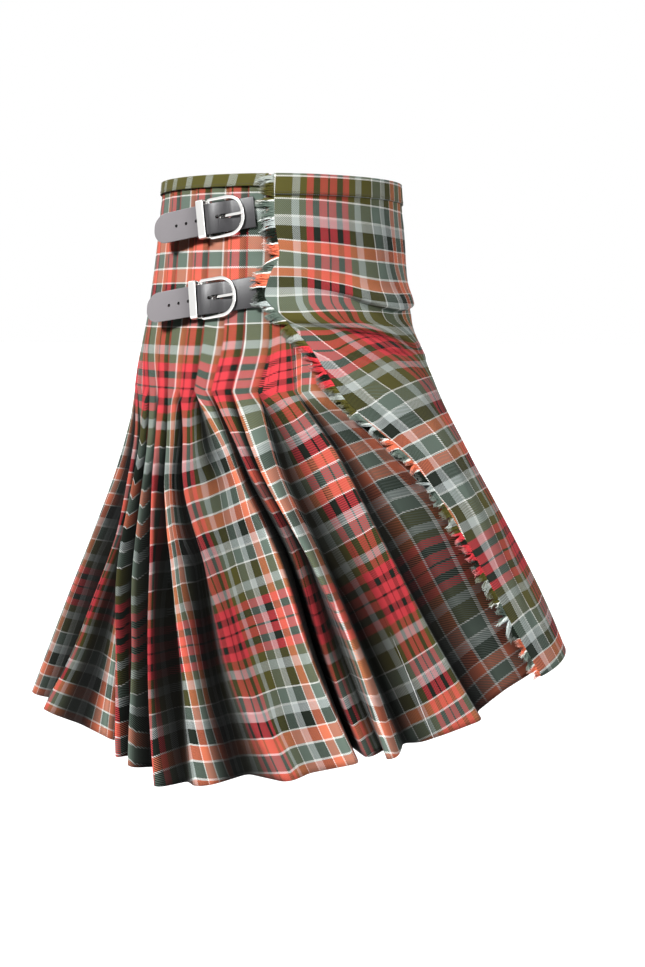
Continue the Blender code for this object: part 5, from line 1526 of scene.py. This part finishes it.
def yarn_material():
    """Loose weft yarns: the colour of the weft stripe, paler towards the frayed ends by
    PALE_MOST, and darkened by ROOT_PAINTED_SHADE where they leave the cloth: painted shade
    where the yarns crowd together at the edge."""
    made, tree, shader = new_material("loose yarn", {
        "Roughness": 0.92, "Specular IOR Level": 0.05})
    split = tree.nodes.new("ShaderNodeSeparateXYZ")
    tree.links.new(cloth_place(tree), split.inputs[0])
    out, across = split.outputs[0], split.outputs[1]
    weft = stripes(tree, maths(tree, "ADD", across, HALF_SETT - PIVOT_V))
    # Painted shade near the cloth.
    root = maths(tree, "MULTIPLY_ADD", out, *ROOT_PAINTED_SHADE, clamp=True)
    end = maths(tree, "MULTIPLY_ADD", out, 1.0 / PALE_RUN, -PALE_FROM / PALE_RUN, clamp=True)
    pale = mixed(tree, maths(tree, "MULTIPLY", end, PALE_MOST), weft,
                 (*YARN_COLOURS["light"], 1.0))
    uneven = maths(tree, "MULTIPLY_ADD", grain(tree, 900.0), 2.2, 0.10)
    tone = maths(tree, "MULTIPLY", root, uneven)
    tree.links.new(multiplied(tree, pale, tone), shader.inputs["Base Color"])
    return made


def leather_material():
    """Black bridle leather: a fine grain under a soft shine, greyer towards the free end by wear
    and by painted sheen.
    """
    made, tree, shader = new_material("black leather", {"Specular IOR Level": 0.45})
    # Wear and painted sheen: greyer towards the free end.
    tone = mixed(tree, point_number(tree, "wear_and_sheen"), (0.014, 0.013, 0.015, 1.0),
                 (0.200, 0.186, 0.194, 1.0))
    tree.links.new(tone, shader.inputs["Base Color"])
    tree.links.new(maths(tree, "MULTIPLY_ADD", grain(tree, 90.0), 0.22, 0.27),
                   shader.inputs["Roughness"])
    bump_from(tree, shader, grain(tree, 1400.0), 0.30, 0.0002)
    return made


def thread_material():
    """Waxed black thread, a little uneven along its length."""
    made, tree, shader = new_material("waxed thread", {"Roughness": 0.6})
    shade = maths(tree, "MULTIPLY_ADD", grain(tree, 700.0), 1.4, 0.3)
    tree.links.new(multiplied(tree, (0.022, 0.020, 0.018, 1.0), shade),
                   shader.inputs["Base Color"])
    return made


def chrome_material():
    """Polished metal with the faint unevenness of a cast and plated buckle."""
    made, tree, shader = new_material("polished chrome", {
        "Base Color": (0.83, 0.82, 0.80, 1.0), "Metallic": 1.0})
    tree.links.new(maths(tree, "MULTIPLY_ADD", grain(tree, 160.0), 0.10, 0.06),
                   shader.inputs["Roughness"])
    bump_from(tree, shader, grain(tree, 120.0), 0.05, 0.0003)
    return made


# ---------------------------------------------------------------- sewing
STITCH = 0.0026          # length of one stitch
STITCH_PITCH = 0.0036
THREAD = 0.00022         # radius of the thread
STITCH_AT = np.array([-0.5, -0.36, 0.36, 0.5])      # along a stitch, in its lengths
STITCH_FULL = np.array([0.35, 1.0, 1.0, 0.35])      # radius there, in the thread's
SUNK = 0.3               # height of a stitch's middle over the cloth, in the thread's radii
BAND_PATH = 400          # points along a row of stitches
ROW_INSET = 1            # degrees between a row's ends and its band's
PLEATS_ROW_Z = -0.0095
APRON_ROW_Z = -0.0180
TAB_BOX = (-0.022, -0.013)                          # the box on a tab, from the bar
TAB_BOX_EDGE = 0.0025    # and in from the tab's edges


def make_stitches(name, path, out, material):
    """Short rounded threads laid end to end along a path of points: each is a six-sided
    spindle, full in the middle and closed at both ends."""
    run = arc_along(path[None])[0]
    at = np.arange(0.5 * STITCH_PITCH, run[-1] - 0.5 * STITCH_PITCH, STITCH_PITCH)
    middle = read_along(at, run, path)
    ahead = unit(read_along(at + 0.001, run, path) - read_along(at - 0.001, run, path))
    face = unit(read_along(at, run, out))
    side = np.cross(ahead, face)
    size = STITCH_FULL * THREAD
    turn = 2 * np.pi * np.arange(6) / 6
    rings = (middle[:, None, None] + ahead[:, None, None] * (STITCH_AT * STITCH)[:, None, None]
             + face[:, None, None] * (size[:, None] * np.cos(turn))[..., None]
             + side[:, None, None] * (size[:, None] * np.sin(turn))[..., None])
    corner = np.arange(len(at) * 24).reshape(-1, 4, 6)
    around = np.roll(corner, -1, axis=2)
    walls = np.stack([corner[:, :-1], corner[:, 1:], around[:, 1:], around[:, :-1]], -1)
    ends = [corner[:, ring, sides] for ring, sides in (
        (0, (0, 1, 2, 3)), (0, (0, 3, 4, 5)), (3, (3, 2, 1, 0)), (3, (5, 4, 3, 0)))]
    faces = np.concatenate([walls.reshape(-1, 4), *ends])
    return new_mesh(name, rings.reshape(-1, 3), faces, material)


def band_stitches(name, angles, z, out, material):
    """A row of stitches along a waistband at a height, just proud of its face."""
    angles = np.linspace(*angles, BAND_PATH)
    path = body_point(angles, np.full(BAND_PATH, z), out + BAND_WALL / 2 + SUNK * THREAD)
    return make_stitches(name, path, path * (1, 1, 0), material)


def tab_stitches(seat, name, material):
    """A box of stitches where a tab is sewn down behind its bar."""
    half, (start, stop) = TAB_WIDTH / 2 - TAB_BOX_EDGE, TAB_BOX
    along = np.concatenate([np.full(8, start), np.linspace(start, stop, 5), np.full(8, stop)])
    rise = np.concatenate([np.linspace(-half, half, 8), np.full(5, half),
                           np.linspace(half, -half, 8)])
    bend = 2 * (float(half_axes(seat.height)[0]) + PLEAT_OUT)
    out = SEAM_GAP + HOOK + SUNK * THREAD - (along - FLAT_AT) ** 2 / bend
    path = seat.place(seat.flat(along, out, rise))
    face = seat.place(np.broadcast_to(seat.out, path.shape))
    return make_stitches(name, path, face, material)


# ---------------------------------------------------------------- the whole kilt
def finish_piece(piece, slot, *nodes):
    """Let a piece ride on the kilt and stand for its solids; its slot is not used."""
    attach(piece, "root")
    if nodes:
        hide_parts(*nodes)


FLOOR_Z = -1.05
FLOOR_REACH = 40.0


def make_stage():
    """The floor: a pale square that glows evenly.  It shows in what shines, but throws no
    light on dull surfaces."""
    mesh = bpy.data.meshes.new("floor")
    corners = [(x * FLOOR_REACH, y * FLOOR_REACH, FLOOR_Z)
               for x, y in ((-1, -1), (1, -1), (1, 1), (-1, 1))]
    mesh.from_pydata(corners, [], [(0, 1, 2, 3)])
    mesh.materials.append(new_material("floor", {
        "Base Color": (0.30, 0.30, 0.30, 1.0), "Roughness": 0.9,
        "Emission Color": (1, 1, 1, 1), "Emission Strength": 0.88})[0])
    floor = in_scene("floor", mesh)
    floor.visible_diffuse = False


# Camera: distance, height, tilt down and azimuth in degrees, shift aside, and its focal
# length in picture heights.
CAMERA_DISTANCE = 1.80
CAMERA_HEIGHT = -0.14
CAMERA_TILT = 6.3
CAMERA_AZIMUTH = -80.0
CAMERA_ASIDE = 0.0425
CAMERA_FOCAL = 1566 / 967
SENSOR = 36.0            # millimetres of sensor, and so of lens, for a picture height


def make_camera():
    """The camera: back from the kilt's middle at its azimuth and height, moved aside to
    its right, and turned down by its tilt."""
    turn, tilt = math.radians(CAMERA_AZIMUTH), math.radians(CAMERA_TILT)
    back = np.array([math.sin(turn), -math.cos(turn), 0.0])
    right = np.array([math.cos(turn), math.sin(turn), 0.0])
    away = back * math.cos(tilt) + np.array([0, 0, math.sin(tilt)])
    up = np.cross(away, right)
    place = back * CAMERA_DISTANCE + right * CAMERA_ASIDE + np.array([0, 0, CAMERA_HEIGHT])
    data = bpy.data.cameras.new("camera")
    data.sensor_fit = "VERTICAL"
    data.sensor_height = SENSOR
    data.lens = SENSOR * CAMERA_FOCAL
    camera = in_scene("camera", data)
    camera.matrix_world = Matrix((
        (right[0], up[0], away[0], place[0]), (right[1], up[1], away[1], place[1]),
        (right[2], up[2], away[2], place[2]), (0, 0, 0, 1)))
    bpy.context.scene.camera = camera


# Each sun's azimuth, elevation and half spread in degrees, and its strength; then the
# share of the sky's light that falls on the kilt's dull parts.
SUNS = {"sun": (-118.0, 33.0, 6.0, 5.7), "side sun": (-26.0, 12.0, 20.0, 2.3),
        "back sun": (112.0, 28.0, 25.0, 1.6)}
SKY_LIGHT = 0.055


def make_lights():
    """A large soft sun from the upper left, a weaker one from the low right, one from
    behind, and a white sky of which only SKY_LIGHT falls on dull surfaces."""
    world = bpy.data.worlds.new("studio")
    world.use_nodes = True
    tree = world.node_tree
    background = tree.nodes["Background"]
    background.inputs[0].default_value = (1, 1, 1, 1)
    seen = tree.nodes.new("ShaderNodeLightPath").outputs
    bright = maths(tree, "MAXIMUM", seen["Is Camera Ray"], seen["Is Glossy Ray"])
    strength = maths(tree, "MULTIPLY_ADD", bright, 1.0 - SKY_LIGHT, SKY_LIGHT)
    tree.links.new(strength, background.inputs[1])
    bpy.context.scene.world = world
    bpy.context.scene.view_settings.view_transform = "Standard"
    for name, (azimuth, height, spread, strength) in SUNS.items():
        data = bpy.data.lights.new(name, "SUN")
        data.angle = math.radians(2 * spread)
        data.energy = strength
        lamp = in_scene(name, data)
        lamp.rotation_euler = (math.radians(90 - height), 0.0, math.radians(azimuth))


make_camera()
make_lights()
make_stage()
sett_group()
grain_group()
tartan = cloth_material("tartan", tartan_group())
leather = leather_material()
metal = chrome_material()
thread = thread_material()

for piece, node in make_pleats(tartan):
    finish_piece(piece, "tartan_cloth", node)
over_apron = make_over_apron(tartan)
finish_piece(over_apron, "apron_cloth", "over_apron")
band_pleats, band_apron = make_waistbands(tartan)
finish_piece(band_pleats, "apron_cloth", "waistband_pleats")
finish_piece(band_apron, "apron_cloth", "waistband_apron")
fringe = make_fringe(yarn_material())
finish_piece(fringe, "apron_cloth", "apron_fringe")
row_ends = (APRON_EDGE[0, 1] + ROW_INSET, APRON_LEFT - ROW_INSET)
apron_row_out = apron_out(np.linspace(*row_ends, BAND_PATH), APRON_ROW_Z)
rows = [
    band_stitches("stitches_pleats_band", (LEFT_HIP + ROW_INSET, BAND_END - ROW_INSET),
                  PLEATS_ROW_Z, TOP_SQUASH * TOOTH + BAND_LIFT + BAND_SLACK, thread),
    band_stitches("stitches_apron_band", row_ends, APRON_ROW_Z,
                  apron_row_out + BAND_LIFT + BAND_SLACK / 2, thread)]
for row in rows:
    finish_piece(row, "apron_cloth")
make_fastenings(leather, metal, thread)

bpy.context.view_layer.update()
